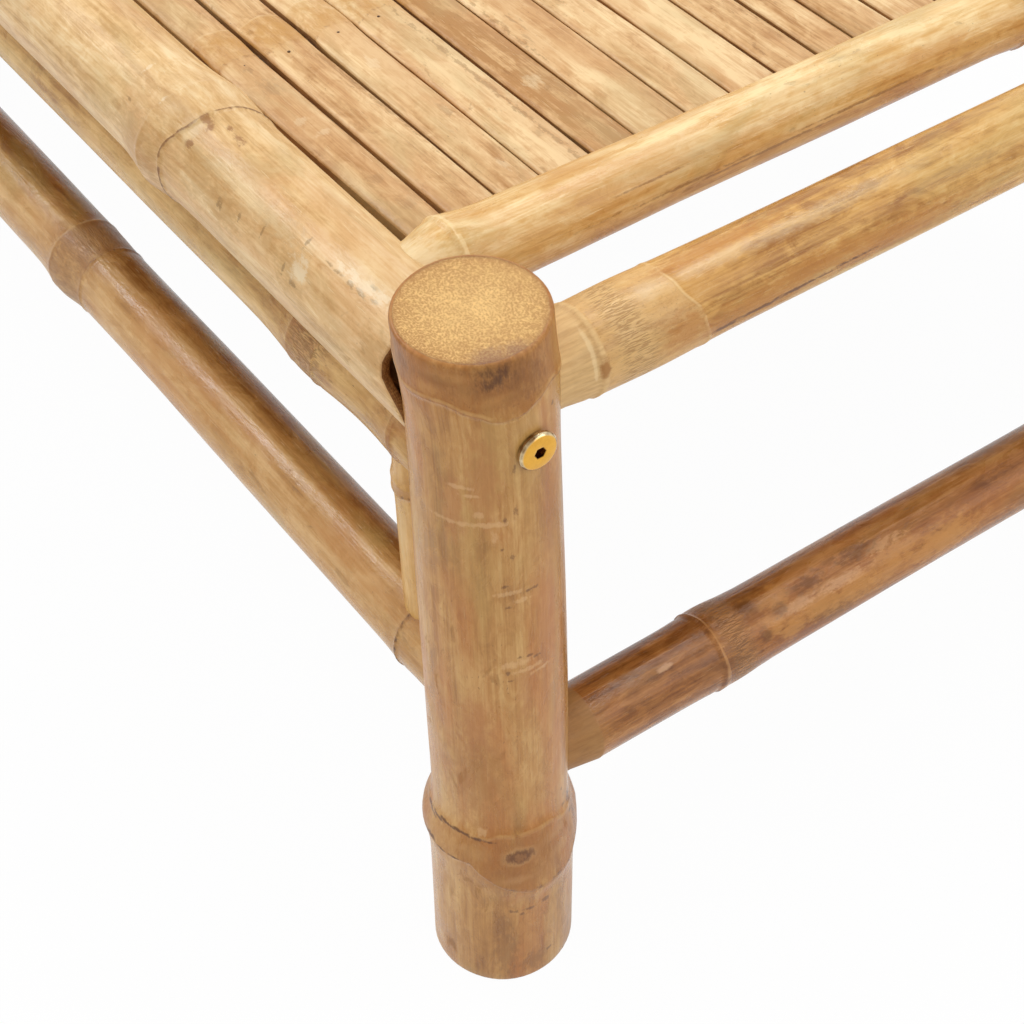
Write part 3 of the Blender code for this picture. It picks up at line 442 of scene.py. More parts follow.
def culm(name, start, end, radius, rings, sides=48, tips=(("sawn",), ("sawn",)), bend=0.0008, shade=None,
         rim=0.0012, cope=None, own_girth=None, bow=None):
    """A bamboo pole: its profile, joints and all, is spun round the axis, then each row is made uneven.
    A tip is sawn, hollow with its bore and depth, or a tenon with its share of the girth, reach and slope."""
    chance = random.Random(name)
    start, end = Vector(start), Vector(end)
    length = (end - start).length
    axis = (end - start) / length

    def girth(t):
        share = 1.0
        for tip, d in ((tips[0], t), (tips[1], length - t)):
            if tip[0] == "tenon":
                share = min(share, tip[1] + (1 - tip[1]) * eased_in((d - tip[2]) / tip[3]))
        return (own_girth(t) if own_girth else radius) * share

    rows = profile(length, girth, rings, tips, rim)
    skin = {i for i, (_, _, kind) in enumerate(rows) if kind == SKIN or i and rows[i - 1][2] == SKIN}

    bm = bmesh.new()
    row = bm.verts.layers.int.new("row")
    verts = []
    for i, (t, w, _) in enumerate(rows):
        v = bm.verts.new((w, 0.0, t))
        v[row] = i
        verts.append(v)
    for a, b in zip(verts, verts[1:]):
        bm.edges.new((a, b))
    bmesh.ops.spin(bm, geom=[*bm.verts, *bm.edges], cent=(0, 0, 0), axis=(0, 0, 1), angle=math.tau, steps=sides,
                   use_merge=True)
    bmesh.ops.remove_doubles(bm, verts=bm.verts, dist=1e-6)
    bmesh.ops.recalc_face_normals(bm, faces=bm.faces)
    for face in bm.faces:
        face.smooth = True
        face.material_index = rows[min(v[row] for v in face.verts)][2]

    # The joints' own lines, and how far each row takes part in them
    lines = []
    for r in rings:
        near, far = tuple(r["near"] or grown_line(chance)), tuple(r["far"] or grown_line(chance))
        before = max(0.002, min(0.045, r["at"] - 0.002))
        after = max(0.002, min(0.045, length - r["at"] - r["wide"] - 0.002))
        lop = r["lop"] or (chance.uniform(0, 360), chance.uniform(0.15, 0.5))
        lines.append((r, near, far, before, after, math.radians(lop[0]), lop[1]))
    layer = {key: bm.verts.layers.float.new(key) for key in PAINTED}
    grain = bm.verts.layers.float_vector.new("grain")
    seed = chance.uniform(0, 50)
    oval, oval_turn = chance.uniform(0.004, 0.014), chance.uniform(0, 6.3)
    bow = Vector(bow) if bow else Vector((chance.uniform(-1, 1), chance.uniform(-1, 1), 0)) * bend
    sway = Vector((chance.uniform(-1, 1), chance.uniform(-1, 1), 0)) * bend * 0.5
    lift, lean = chance.uniform(-0.15, 0.15), chance.uniform(-0.25, 0.25)
    for v in bm.verts:
        t, w, _ = rows[v[row]]
        on_skin = v[row] in skin
        x, y = v.co.x, v.co.y
        angle = math.atan2(y, x)
        round_x, round_y = math.cos(angle), math.sin(angle)
        degrees = round(math.degrees(angle), 1)
        uneven = noise.noise(Vector((round_x * 1.3, round_y * 1.3, t * 9 + seed)))
        out = w * (1 + oval * math.cos(2 * (angle - oval_turn))) + (0.0006 * uneven if on_skin else 0.0)
        move = 0.0
        near_a = near_b = NO_LINE_NEAR
        for r, near, far, before, after, lop, lop_share in lines:
            a, b = t - r["at"], t - r["at"] - r["wide"]
            near_a = min(near_a, max(abs(a), 0.0013 * (1 - r["line"])))
            near_b = min(near_b, max(abs(b), 0.0013 * (1 - r["edge"])))
            if a < -JOINT_REACH or b > JOINT_REACH:
                continue
            if a <= 0:
                move += max(0.0, 1 + a / before) * waviness(near, degrees)
            elif b >= 0:
                move += max(0.0, 1 - b / after) * waviness(far, degrees)
            else:
                way = a / r["wide"]
                move += (1 - way) * waviness(near, degrees) + way * waviness(far, degrees)
            if on_skin:
                out += r["swell"] * (1 + lop_share * math.cos(angle - lop)) * bell(a - r["crest"], r["spread"])
                out += r["ridge"] * (bell(a, 0.0009) - 0.7 * bell(a + 0.0022, 0.0012) + 0.8 * bell(b, 0.0016))
            if -1e-6 <= a and (b <= 1e-6 or t < r["until"]):
                v[layer["band"]] = r["tint"]
            v[layer["halo"]] = max(v[layer["halo"]], r["halo"] * bell(max(-a, b, 0.0), 0.016))
            if r["roots"]:
                scarred = math.exp(-((a - r["roots_at"]) / r["roots_wide"]) ** 4)
                v[layer["roots"]] = max(v[layer["roots"]], r["roots"] * scarred)
        v[layer["line_a"]], v[layer["line_b"]] = near_a, near_b
        for tip, d in ((tips[0], t), (tips[1], length - t)):
            if tip[0] == "tenon" and d < tip[2] + tip[3] + 0.0005:
                v[layer["cut"]] = 1.0
                turn = (angle + seed) % (math.tau / FACETS) - math.pi / FACETS
                out *= 1 - FACET_DEPTH * (1 - math.cos(turn) / math.cos(math.pi / FACETS))
        along_here = t + move
        if cope:
            along_here += cope(x / radius, y / radius, t, length)
        share = t / length
        aside = bow * math.sin(math.pi * share) + sway * math.sin(2 * math.pi * share)
        v.co = Vector((round_x * out, round_y * out, along_here)) + aside
        v[grain] = (round_x * out, round_y * out, along_here + seed)
        v[layer["shade"]] = shade(along_here, math.degrees(angle)) if shade else lift + lean * math.sin(t * 7 + seed)

    # An upright pole's angles run from +x to +y, a pole's along x from +y upwards, a pole's along y from +x upwards
    across = (0, 1, 0) if abs(axis.x) > 0.9 else (1, 0, 0)
    upward = (0, 1, 0) if abs(axis.z) > 0.9 else (0, 0, 1)
    turn = Matrix((across, upward, tuple(axis))).transposed()
    bmesh.ops.transform(bm, matrix=Matrix.Translation(start) @ turn.to_4x4(), verts=bm.verts)
    bmesh.ops.recalc_face_normals(bm, faces=bm.faces)
    return bm


def put(name, bm, materials, body, nodes, finish):
    """Ends a piece: its object, its body and the CAD nodes it stands for; its finish is not used."""
    mesh = bpy.data.meshes.new(name)
    bm.to_mesh(mesh)
    bm.free()
    for material in materials:
        mesh.materials.append(material)
    piece = bpy.data.objects.new(name, mesh)
    scene.collection.objects.link(piece)
    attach(piece, body)
    if nodes:
        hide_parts(*nodes)


# The lower joint's two lines and the line under the sawn top, as they run round the photographed leg
LOW_LINE = ((-150, 4), (-101, 2), (-80, 1), (-57, 3), (-48, -5), (-38, -10), (-27, -15), (-11, -19), (0, -19),
            (20, -18), (48, -9), (65, 3), (110, 5))
HIGH_LINE = ((-150, -3), (-113, -4), (-93, 0), (-73, 1), (-58, 2), (-47, 1), (-36, 5), (-26, 4), (5, 4), (29, -3),
             (54, -5), (120, -4))
CAP_LINE = ((-150, 4), (-120, 9), (-95, 1), (-58, 3), (-37, -1), (-21, -5), (-5, -5), (9, -2), (26, 1), (54, -4),
            (110, 0))
LOWER_JOINT, CAP_JOINT = 0.090, 0.3605


# Painted light: the flank towards -110 degrees is lighter and the opposite flank darker. It is also a little darker
# about 50 mm up.
def leg_painted_light(t, degrees):
    return -0.15 * bell(t - 0.05, 0.05) + 0.12 * math.cos(math.radians(degrees + 110))


def leg_girth(t):
    """The stump is the next length of the culm, and a little thicker; so is the middle of the leg."""
    stump = eased_in((0.112 - t) / 0.02)
    return LEG_RADIUS + 0.0004 + 0.0028 * stump + 0.0006 * bell(t - 0.17, 0.10) - 0.0006 * bell(t - 0.32, 0.05)


def sawn_askew(x, y, t, length):
    """The sawn top isn't quite square: it rises a little away from the corner."""
    return max(0.0, 1 - (length - t) / 0.03) * 0.0013 * (1 - x * 0.84 + y * 0.54)


def on_leg(up, degrees, across, along=None):
    """A place on the photographed leg's skin, for a mark so many millimetres across and along."""
    a = math.radians(degrees)
    r = leg_girth(up / 1000)
    return (LEG_X - LEG_INWARD[0] + r * math.cos(a), -LEG_Y + LEG_INWARD[1] + r * math.sin(a), up / 1000,
            across, across, along or across)


LEG_MARKS = marks_on(
    on_leg,
    # Browner fields under the varnish
    ("A0682F", 0.55, 0.8, 2.5, (374, -60, 30, 16), (372, -20, 40, 18), (370, 8, 24, 18), (83, -12, 26, 16),
     (100, -14, 26, 12), (300, 22, 14, 40), (150, -52, 26, 50)),
    # Pinkish fields between tan ones
    ("B0703E", 0.45, 0.6, 2.0, (325, -34, 12, 40), (310, -58, 9, 30), (235, 12, 9, 60), (185, -48, 14, 34),
     (205, -8, 8, 30)),
    ("8A5A2C", 0.55, 0.6, 2.5, (24, -32, 9, 40), (45, -36, 7, 20), (12, -10, 10, 12)),
    # The bruise at the sawn rim: grey-brown round a dark core
    ("80521F", 0.50, 1.0, 3.5, (379, -20, 24, 12), (374, -6, 12, 14), (370, 6, 8, 12), (373, -92, 9, 10)),
    ("C08A48", 0.60, 0.7, 3.0, (365.5, -22, 14, 4), (370, -42, 5, 8), (369, -72, 10, 6), (376, -56, 16, 4)),
    ("7C4A18", 0.50, 1.2, 3.0, (371, -34, 14, 8), (374, -6, 18, 10), (375.5, -100, 8, 12), (365, -10, 16, 4),
     (374, -62, 12, 5)),
    ("502A08", 0.78, 1.2, 4.0, (377.5, -27, 7, 4), (375, -22, 9, 5), (378.5, -18, 5, 3), (372.8, -27, 4, 3)),
    # The lower joint's upper line is dark and cracked on the left
    ("5A3212", 0.85, 0.5, 2.0, (105, -108, 12, 1.8), (107, -94, 9, 1.6), (108.5, -80, 10, 1.6), (109, -66, 9, 1.6),
     (108.5, -52, 8, 1.8), (108, -42, 6, 1.4), (100, 40, 4, 2), (93, -98, 8, 3), (91, -84, 8, 2), (92, -70, 6, 1.4)),
    ("C2925A", 0.60, 0.9, 3.0, (101, -82, 26, 6), (100, -52, 12, 8), (83, -22, 14, 4), (101, 12, 12, 6),
     (90, 20, 10, 6)),
    # The bud's scar on the lower joint, dark and stippled in a pale ring
    ("9A622C", 0.60, 0.9, 2.0, (96, -17, 30, 20), (88, -30, 16, 10)),
    ("C89A62", 0.50, 0.25, 0.6, (97.9, -19, 16.5, 12)),
    ("5E2E08", 0.85, 0.35, 1.0, (97.9, -19, 13, 8.5)),
    ("A87440", 0.50, 0.8, 6.0, (97.9, -19, 6, 4)),
    ("6A3A18", 0.70, 0.8, 3.0, (108, 42, 4, 9), (96, 46, 3, 10), (116, 34, 2.5, 3)),
    # Pale scrapes with dark pits beside them
    ("DDB27E", 0.45, 0.45, 3.0, (322.2, -52, 9, 2.0), (318.5, -44, 7, 1.6), (308.5, -38, 3.5, 3.5),
     (265.5, -18, 11, 2.2), (260, -10, 9, 2), (223.5, -16, 12, 3.5), (218.5, -6, 14, 2.4), (215, 4, 9, 1.8),
     (303.5, -34, 20, 2.2), (303, -58, 16, 2.0), (297, -28, 2.5, 8), (113, -48, 4, 5)),
    ("6E4420", 0.70, 0.45, 3.0, (350, 27, 2, 2), (269.5, -22, 3, 1.5), (264, -2, 6, 1.4), (257.5, -20, 3, 1.4),
     (227, -12, 2.5, 1.4), (226.2, -4, 3, 1.2), (224, 2, 3, 1.5), (219, -22, 2.5, 2.5), (214.2, -20, 3, 1.3),
     (56, -24, 4, 2.5), (56, -14, 6, 2.2), (53, -18, 3, 2.5), (57.5, 2, 4, 3), (122, 28, 2.2, 2.5), (110, 30, 2.5, 3),
     (118, 20, 2, 3), (15, 5, 3, 2), (290, -22, 2, 1.5), (285, -16, 2, 4), (308, -12, 2, 6), (330, -12, 1.8, 4),
     (305, -20, 2, 3)),
)
TOP_BURNS = [(LEG_X + 0.0220, -LEG_Y - 0.0085, LEG_HEIGHT, 9, 14, 12),
             (LEG_X + 0.0240, -LEG_Y + 0.0010, LEG_HEIGHT, 7, 10, 12)]
leg_skin = bamboo_skin("varnished_leg_bamboo", "94602A", "BA8648", "D4A86A", "9E6020", "582C0C", warm="B86C30",
                       cool="BA9A58", contrast=0.85, stains=0.25, freckles=0.5, marks=LEG_MARKS)
leg_top = sawn_bamboo("sawn_leg_top", "E8BE78", "9A6426", "9C6A34", LEG_RADIUS, TOP_BURNS)
culm_bore = bamboo_bore("bare_culm_inside")

for end, end_sign in ENDS:
    for side, side_sign in SIDES:
        photographed = (end, side) == ("foot", "right")
        turn = 0 if photographed else random.Random(end + side).uniform(60, 300)
        low, high, cap = ([((d + turn + 180) % 360 - 180, mm) for d, mm in line]
                          for line in (LOW_LINE, HIGH_LINE, CAP_LINE))
        joints = [
            ring(LOWER_JOINT, wide=0.018, swell=0.0020, spread=0.014, crest=0.005, tint=0.3, halo=0.2, line=0.4,
                 edge=0.5, near=low, far=high, lop=(-125 + turn, 0.3)),
            ring(CAP_JOINT, wide=0.0012, swell=0.0005, spread=0.010, tint=0.72, halo=0.1, line=0.25, edge=0.6,
                 until=0.4, near=cap, far=cap, ridge=0.0003),
        ]
        x, y = end_sign * (LEG_X - LEG_INWARD[0]), side_sign * (LEG_Y - LEG_INWARD[1])
        bm = culm(f"leg_pole_{end}_{side}", (x, y, 0.0), (x, y, LEG_HEIGHT), LEG_RADIUS, joints, 56,
                  (("hollow", STUMP_BORE, STUMP_DEPTH), ("sawn",)), 0.0006, leg_painted_light, own_girth=leg_girth,
                  bow=(0.0007, 0.0012, 0.0) if photographed else None, rim=0.0016, cope=sawn_askew)
        for v in bm.verts:
            tipped = max(0.0, v.co.z - TIP_START) / (LEG_HEIGHT - TIP_START)
            v.co.xy -= Vector((TIP_X * end_sign, TIP_Y * side_sign)) * tipped
        put(f"leg_pole_{end}_{side}", bm, [leg_skin, leg_top, culm_bore], "frame", [f"leg_{end}_{side}"],
            "leg_bamboo")


# Side rails: the thickest pale culms, one down each side. Their ends are coped, cut hollow to
# fit round the legs, and stand open a little at the flank, where the dark inside shows.

RAIL_HEIGHT, RAIL_RADIUS = 0.342, 0.026
COPE_RADIUS, COPE_CENTRE = 0.0383, LEG_X + 0.008
COPE_DEPTH = 0.07
RAIL_END_X = COPE_CENTRE - COPE_RADIUS
RAIL_LENGTH = 2 * RAIL_END_X
RAIL_OPEN = ("hollow", 0.0205, 0.012)
RAIL_JOINT = 0.189
# The left side's and the head end's poles were cut from other culms, whose joints stand further along
OTHER_POLE_SHIFT = 0.075
COPE_LINE = ((-176, 14), (-170, 17), (-150, 16.5), (-120, 7), (-90, 0), (-40, 7), (0, 10), (40, 5), (90, 0),
             (140, 3.0), (153, 2.2), (165, 3.5), (174, 8))
RAIL_NEAR = ((-180, 7), (-151, 8), (-120, 6), (-60, -3), (0, -6), (40, -5), (72, -3), (102, -1), (117, 0), (131, 3),
             (148, 7), (157, 8))
RAIL_FAR = ((-180, 3), (-100, 2), (0, -2), (90, -2), (130, 1))


def lengthwise(y, reach, z):
    """The two ends of a pole that lies along the lounger, foot end first."""
    return (reach, y, z), (-reach, y, z)


def on_rail(from_leg, degrees, across, along=None):
    """A place on the right rail's skin, so many millimetres from the leg's axis."""
    a = math.radians(degrees)
    return (LEG_X - from_leg / 1000, -LEG_Y + RAIL_RADIUS * math.cos(a), RAIL_HEIGHT + RAIL_RADIUS * math.sin(a),
            along or across, across, across)


def coped(x, y, t, length):
    """How much further a row near either end of the rail reaches beside the leg."""
    reach = waviness(COPE_LINE, round(math.degrees(math.atan2(y, x)), 1))
    return (max(0.0, 1 - (length - t) / COPE_DEPTH) - max(0.0, 1 - t / COPE_DEPTH)) * reach


RAIL_MARKS = marks_on(
    on_rail,
    # Brown and olive patches beside the joint and at the coped end
    ("AE8448", 0.45, 0.7, 3.0, (170, 145, 20, 26), (150, 158, 14, 30), (215, 162, 18, 40), (186, 108, 12, 10),
     (95, 148, 14, 16), (35, 158, 16, 16), (110, 130, 10, 26)),
    # Pale patches, and two long pale streaks along the top that are a painted highlight
    ("F0DDB4", 0.30, 0.8, 2.0, (186, 120, 12, 7), (60, 112, 7, 40), (92, 124, 4, 10), (88, 150, 4, 12),
     (135, 128, 8, 60)),
    # Root scars in a row beside the joint
    ("8A5626", 0.70, 0.45, 2.5, (182.8, 131, 4, 4), (185.8, 104, 4, 5.5), (180, 108, 3.5, 4), (173.9, 95, 3.5, 4),
     (166.1, 96, 3.5, 8), (162, 97, 3, 4)),
    # Scratches, dents and the dark lower edge of a peeled place near the leg
    ("80602F", 0.55, 0.45, 3.0, (149.8, 153, 3.5, 2.5), (148, 156, 4.5, 1.6), (134.6, 150, 4, 1.4),
     (118.3, 145, 5, 1.4), (98.5, 157, 5, 1.4), (90, 161, 2.2, 5), (94, 122, 5, 1.4), (70.4, 124, 1.6, 6),
     (62.7, 124, 2.2, 8), (56, 123, 2.2, 8), (49, 121, 1.6, 6), (52, 112, 2, 5), (78, 123, 1.4, 5), (248, 100, 1.5, 3),
     (230, 140, 1.5, 5)),
    ("F2E2C2", 0.38, 0.55, 4.0, (64, 118, 4, 14), (55, 117, 4.5, 16), (48, 114, 4, 12), (90, 146, 8, 10),
     (210, 118, 5, 2), (235, 106, 6, 1.6)),
)
rail_skin = bamboo_skin("varnished_rail_bamboo", "BE9256", "DDB67E", "EED2A2", "B07A3A", "74461E", warm="CB9660",
                        cool="B9A26C", contrast=1.15, stains=0.25, freckles=0.35, swirls=0.15, roughness=0.36,
                        marks=RAIL_MARKS)
rail_end = sawn_bamboo("sawn_rail_end", "A87A44", "6A401A", "8A5C30", RAIL_RADIUS)
for side, side_sign in SIDES:
    first = RAIL_JOINT + OTHER_POLE_SHIFT * (side == "left") - (LEG_X - RAIL_END_X)
    joints = rings_along(first, RAIL_LENGTH, wide=0.020, swell=0.0024, spread=0.017, crest=0.019, ridge=0.0005,
                         tint=0.06, halo=0.15, line=1.0, edge=0.15)
    if side == "right":
        joints[0].update(near=RAIL_NEAR, far=RAIL_FAR)
    out = side_sign * (LEG_Y + 0.0008)
    bm = culm(f"rail_pole_{side}", *lengthwise(out, RAIL_END_X, RAIL_HEIGHT), RAIL_RADIUS - 0.0008, joints, 56,
              (RAIL_OPEN, RAIL_OPEN), 0.0007, cope=coped)
    put(f"rail_pole_{side}", bm, [rail_skin, rail_end, culm_bore], "frame", [f"side_rail_{side}"], "pole_bamboo")


# Sub-rails: thinner straw-coloured culms right under the side rails, coped to the legs too.
# The back's hinge bolts go through them.

SUB_RAIL_HEIGHT, SUB_RAIL_RADIUS = 0.2996, 0.0154
SUB_RAIL_REACH = LEG_X - 0.025
SUB_RAIL_JOINT = 0.096
straw_skin = bamboo_skin("varnished_straw_bamboo", "98682E", "C49A5A", "DFB97C", "8E4E18", "4C2408", stains=0.4,
                         freckles=0.5)
pole_end = sawn_bamboo("sawn_pole_end", "B88A52", "6E421C", "966234", 0.0145)


def pole(name, node, skin, start, end, *shape, body="frame", finish="pole_bamboo", **own):
    """A culm that is put in just as it grew, in place of one CAD node."""
    put(name, culm(name, start, end, *shape, **own), [skin, pole_end], body, [node], finish)


for side, side_sign in SIDES:
    first = SUB_RAIL_JOINT + OTHER_POLE_SHIFT * (side == "left") - (LEG_X - SUB_RAIL_REACH)
    joints = rings_along(first, 2 * SUB_RAIL_REACH, wide=0.018, swell=0.0026, spread=0.024, tint=0.8, halo=0.5,
                         roots=0.9, line=0.2, edge=0.3)
    joints.append(ring(0.012, wide=0.003, swell=0.0016, spread=0.014, line=0.3))
    out = side_sign * (LEG_Y + 0.0012)
    pole(f"sub_rail_pole_{side}", f"sub_rail_{side}", straw_skin, *lengthwise(out, SUB_RAIL_REACH, SUB_RAIL_HEIGHT),
         SUB_RAIL_RADIUS, joints, 40, bend=0.0004)


# Side stretchers: brown culms that join the legs half way down. Their ends fit whole into the legs
# and are glued there.

STRETCHER_HEIGHT, STRETCHER_RADIUS = 0.1775, 0.019
STRETCHER_JOINT = 0.341
# How far from the leg's axis the poles that are let into it end
TENON_END = 0.014
STRETCHER_REACH = LEG_X - TENON_END
stretcher_skin = bamboo_skin("varnished_stretcher_bamboo", "865424", "BC8C50", "DEB882", "8E5C2E", "4A2812",
                             warm="B87A3E", cool="B09A5C", contrast=0.6, stains=0.3, freckles=0.4, roughness=0.27,
                             cut="CC9E62")


def stretcher_tone_and_highlight(t, degrees):
    """The inward half is browner, with a sharp edge, and a pale line along that edge is a painted highlight."""
    away = abs((degrees - 30 + 180) % 360 - 180)
    brown = 1 / (1 + math.exp((away - 58 - 16 * eased_in((t - 0.33) / 0.05)) / 5))
    return 0.12 - 0.85 * brown + 0.65 * bell(away - 74, 5)


def stretcher_girth(t):
    """The next length of the culm, from its first joint on, is a little thicker."""
    return STRETCHER_RADIUS + 0.0009 + 0.0011 * eased_in((t - 0.33) / 0.08)


for side, side_sign in SIDES:
    joints = rings_along(STRETCHER_JOINT + OTHER_POLE_SHIFT * (side == "left") - TENON_END, 2 * STRETCHER_REACH,
                         wide=0.029, swell=0.0015, spread=0.016, crest=0.024, tint=0.6, halo=0.4, roots=0.35,
                         line=0.2, edge=0.5, lop=(225, 0.8))
    joints.append(ring(0.027, wide=0.0012, swell=0.0006, spread=0.010, tint=0.3, halo=0.3, line=0.6))
    out = side_sign * (LEG_Y + 0.0004)
    inward = stretcher_tone_and_highlight if side == "right" else (lambda t, degrees: stretcher_tone_and_highlight(t, 180 - degrees))
    pole(f"stretcher_pole_{side}", f"side_stretcher_{side}", stretcher_skin,
         *lengthwise(out, STRETCHER_REACH, STRETCHER_HEIGHT), STRETCHER_RADIUS, joints, bend=0.0005, shade=inward,
         own_girth=stretcher_girth)


# Spindles: short golden uprights beside the legs, between the sub-rail and the side stretcher,
# held by small dowels in both.

SPINDLE_X, SPINDLE_RADIUS = 0.9275, 0.0123
SPINDLE_LOW, SPINDLE_HIGH = 0.178, 0.3005
golden_skin = bamboo_skin("varnished_golden_bamboo", "B4823E", "D6A860", "E6BE80", "A87034", "5E3618", contrast=0.8,
                          stains=0.2, freckles=0.3)
for end, end_sign in ENDS:
    for side, side_sign in SIDES:
        x, y = end_sign * SPINDLE_X, side_sign * LEG_Y
        pole(f"spindle_pole_{end}_{side}", f"spindle_{end}_{side}", golden_skin, (x, y, SPINDLE_LOW),
             (x, y, SPINDLE_HIGH), SPINDLE_RADIUS, [ring(0.090, wide=0.004, swell=0.0008, spread=0.006)], 32,
             bend=0.0003)


# End rails: golden culms across each end at the side rails' height, let into the legs.
# The whittled end shows pale beside the leg, with rows of root scars at the first joint.

END_RAIL_RADIUS = 0.0185
END_RAIL_JOINT = 0.045
END_RAIL_FAR = ((-60, 5), (-30, 6), (20, 2), (60, -4), (90, -6), (180, -3))
END_REACH = LEG_Y - TENON_END


def crosswise(x, reach, z):
    """The two ends of a pole that lies across the lounger, right end first."""
    return (x, -reach, z), (x, reach, z)


def tenon(radius_share):
    """An end whittled down to this share of the pole's girth as far as the leg's skin, then widening again."""
    return ("tenon", radius_share, 0.0315 - TENON_END, 0.015)


def on_cross_pole(x, height, radius):
    """The function that places marks on a pole that lies across the lounger, by distance from the right leg."""
    def place(from_leg, degrees, across, along=None):
        a = math.radians(degrees)
        return (x + radius * math.cos(a), -LEG_Y + from_leg / 1000, height + radius * math.sin(a), across,
                along or across, across)
    return place


on_end_rail = on_cross_pole(LEG_X, RAIL_HEIGHT, END_RAIL_RADIUS)
END_RAIL_MARKS = marks_on(
    on_end_rail,
    ("B4722E", 0.55, 0.6, 2.5, (120, -4, 12, 60), (150, 12, 10, 60), (110, 92, 8, 60), (190, 2, 12, 70),
     (85, 8, 14, 20)),
    # Pale streaks along the top: a painted highlight
    ("E6CFA4", 0.30, 0.8, 1.5, (110, 72, 5, 50), (160, 70, 6, 90), (75, 74, 8, 14)),
    ("64390F", 0.85, 0.35, 1.5, (103, -14, 2.4, 16), (120, -11, 2.4, 28), (143, -8, 2.2, 36), (168, -5, 1.8, 36)),
    ("A06A32", 0.85, 0.35, 1.0, (45.6, 14, 8.5, 4.5)),
    ("F0D6A4", 0.45, 0.4, 1.5, (42, 44, 16, 2), (41.5, 20, 12, 1.6)),
)
end_rail_skin = bamboo_skin("varnished_end_rail_bamboo", "9C662A", "D2A058", "E8C488", "DEB478", "84501F",
                            warm="C28844", cool="BCA468", stains=0.4, freckles=0.4, cut="E2BE86",
                            marks=END_RAIL_MARKS)
for end, end_sign in ENDS:
    joints = rings_along(END_RAIL_JOINT + OTHER_POLE_SHIFT * (end == "head") - TENON_END, 2 * END_REACH, wide=0.046,
                         swell=0.0005, spread=0.018, crest=0.028, tint=0.6, halo=0.0, roots=0.95, roots_at=0.016,
                         roots_wide=0.0085, line=0.0, edge=0.8, near=((0, 0), (180, 0)), far=END_RAIL_FAR)
    pole(f"end_rail_pole_{end}", f"end_rail_{end}", end_rail_skin,
         *crosswise(end_sign * LEG_X, END_REACH, RAIL_HEIGHT + 0.0006), END_RAIL_RADIUS + 0.0004, joints, 48,
         (tenon(0.91), tenon(0.91)), 0.0006)


# End stretchers: glossy chestnut-brown culms low down across each end, let into the legs.
# They are lower than the side stretchers, so that the tenons don't meet in the leg.

END_STRETCHER_HEIGHT, END_STRETCHER_RADIUS = 0.121, 0.018
END_STRETCHER_JOINT = 0.117

on_end_stretcher = on_cross_pole(LEG_X, END_STRETCHER_HEIGHT, END_STRETCHER_RADIUS)
END_STRETCHER_MARKS = marks_on(
    on_end_stretcher,
    ("C88E4C", 0.65, 0.6, 2.8, (156, 70, 12, 16), (150, 34, 9, 12), (158, 18, 10, 14), (178, 28, 12, 24),
     (200, 24, 12, 30), (225, 40, 12, 26), (255, 20, 14, 40)),
    ("D2A070", 0.55, 0.5, 3.0, (165, 46, 5, 20), (192, 44, 5, 24), (220, 62, 5, 20)),
    ("5A3216", 0.55, 0.6, 3.0, (140, 84, 9, 9), (155, 52, 5, 8), (175, 66, 7, 16), (205, 70, 6, 20), (143, 30, 6, 6)),
    # A small pale spot: a painted highlight
    ("D8AC84", 0.75, 0.4, 1.2, (89.4, 62, 2.6, 8)),
)
chestnut_skin = bamboo_skin("varnished_chestnut_bamboo", "74431C", "A66C36", "CC965C", "B07C48", "40200C",
                            warm="AC682E", cool="A07840", contrast=1.05, stains=0.3, freckles=0.3, roughness=0.25,
                            cut="A87C48", marks=END_STRETCHER_MARKS)
for end, end_sign in ENDS:
    joints = rings_along(END_STRETCHER_JOINT + OTHER_POLE_SHIFT * (end == "head") - TENON_END, 2 * END_REACH,
                         wide=0.0012, swell=0.0012, spread=0.013, crest=0.009, tint=0.0, halo=0.25, roots=1.0,
                         roots_at=0.0115, roots_wide=0.007, line=0.0, edge=1.0)
    pole(f"end_stretcher_pole_{end}", f"end_stretcher_{end}", chestnut_skin,
         *crosswise(end_sign * LEG_X, END_REACH, END_STRETCHER_HEIGHT - 0.0006), END_STRETCHER_RADIUS + 0.0006,
         joints, 48, (tenon(0.88), tenon(0.88)), 0.0008, finish="dark_bamboo")


# Cover poles: one over the foot ends of the seat slats and one over the head ends of the back's,
# planed flat underneath and nailed down, so that no slat end is bare.

COVER_X, COVER_HEIGHT, COVER_RADIUS = 0.904, 0.3493, 0.016
COVER_JOINT = 0.032
DECK_TOP = 0.333

# Cracks along the flank, and the paler end beside the rail
on_cover = on_cross_pole(COVER_X, COVER_HEIGHT, COVER_RADIUS)
COVER_MARKS = marks_on(
    on_cover,
    ("8A5A2A", 0.65, 0.4, 2.0, (90, 6, 1.6, 60), (135, 2, 1.5, 70), (180, -4, 1.5, 80), (240, 4, 1.4, 70),
     (120, 30, 1.2, 40)),
    ("F0D9AE", 0.60, 0.6, 1.5, (14, 70, 20, 22), (14, 20, 16, 20)),
)
cover_skin = bamboo_skin("varnished_cover_bamboo", "B27A3E", "DAAC68", "F4D8A2", "9C6A36", "5E3618", warm="C48840",
                         contrast=0.85, stains=0.25, freckles=0.4, marks=COVER_MARKS)


# Painted light: the pole's top is lighter and its underside darker
def cover_painted_light(t, degrees):
    return 0.55 * math.sin(math.radians(degrees)) - 0.1


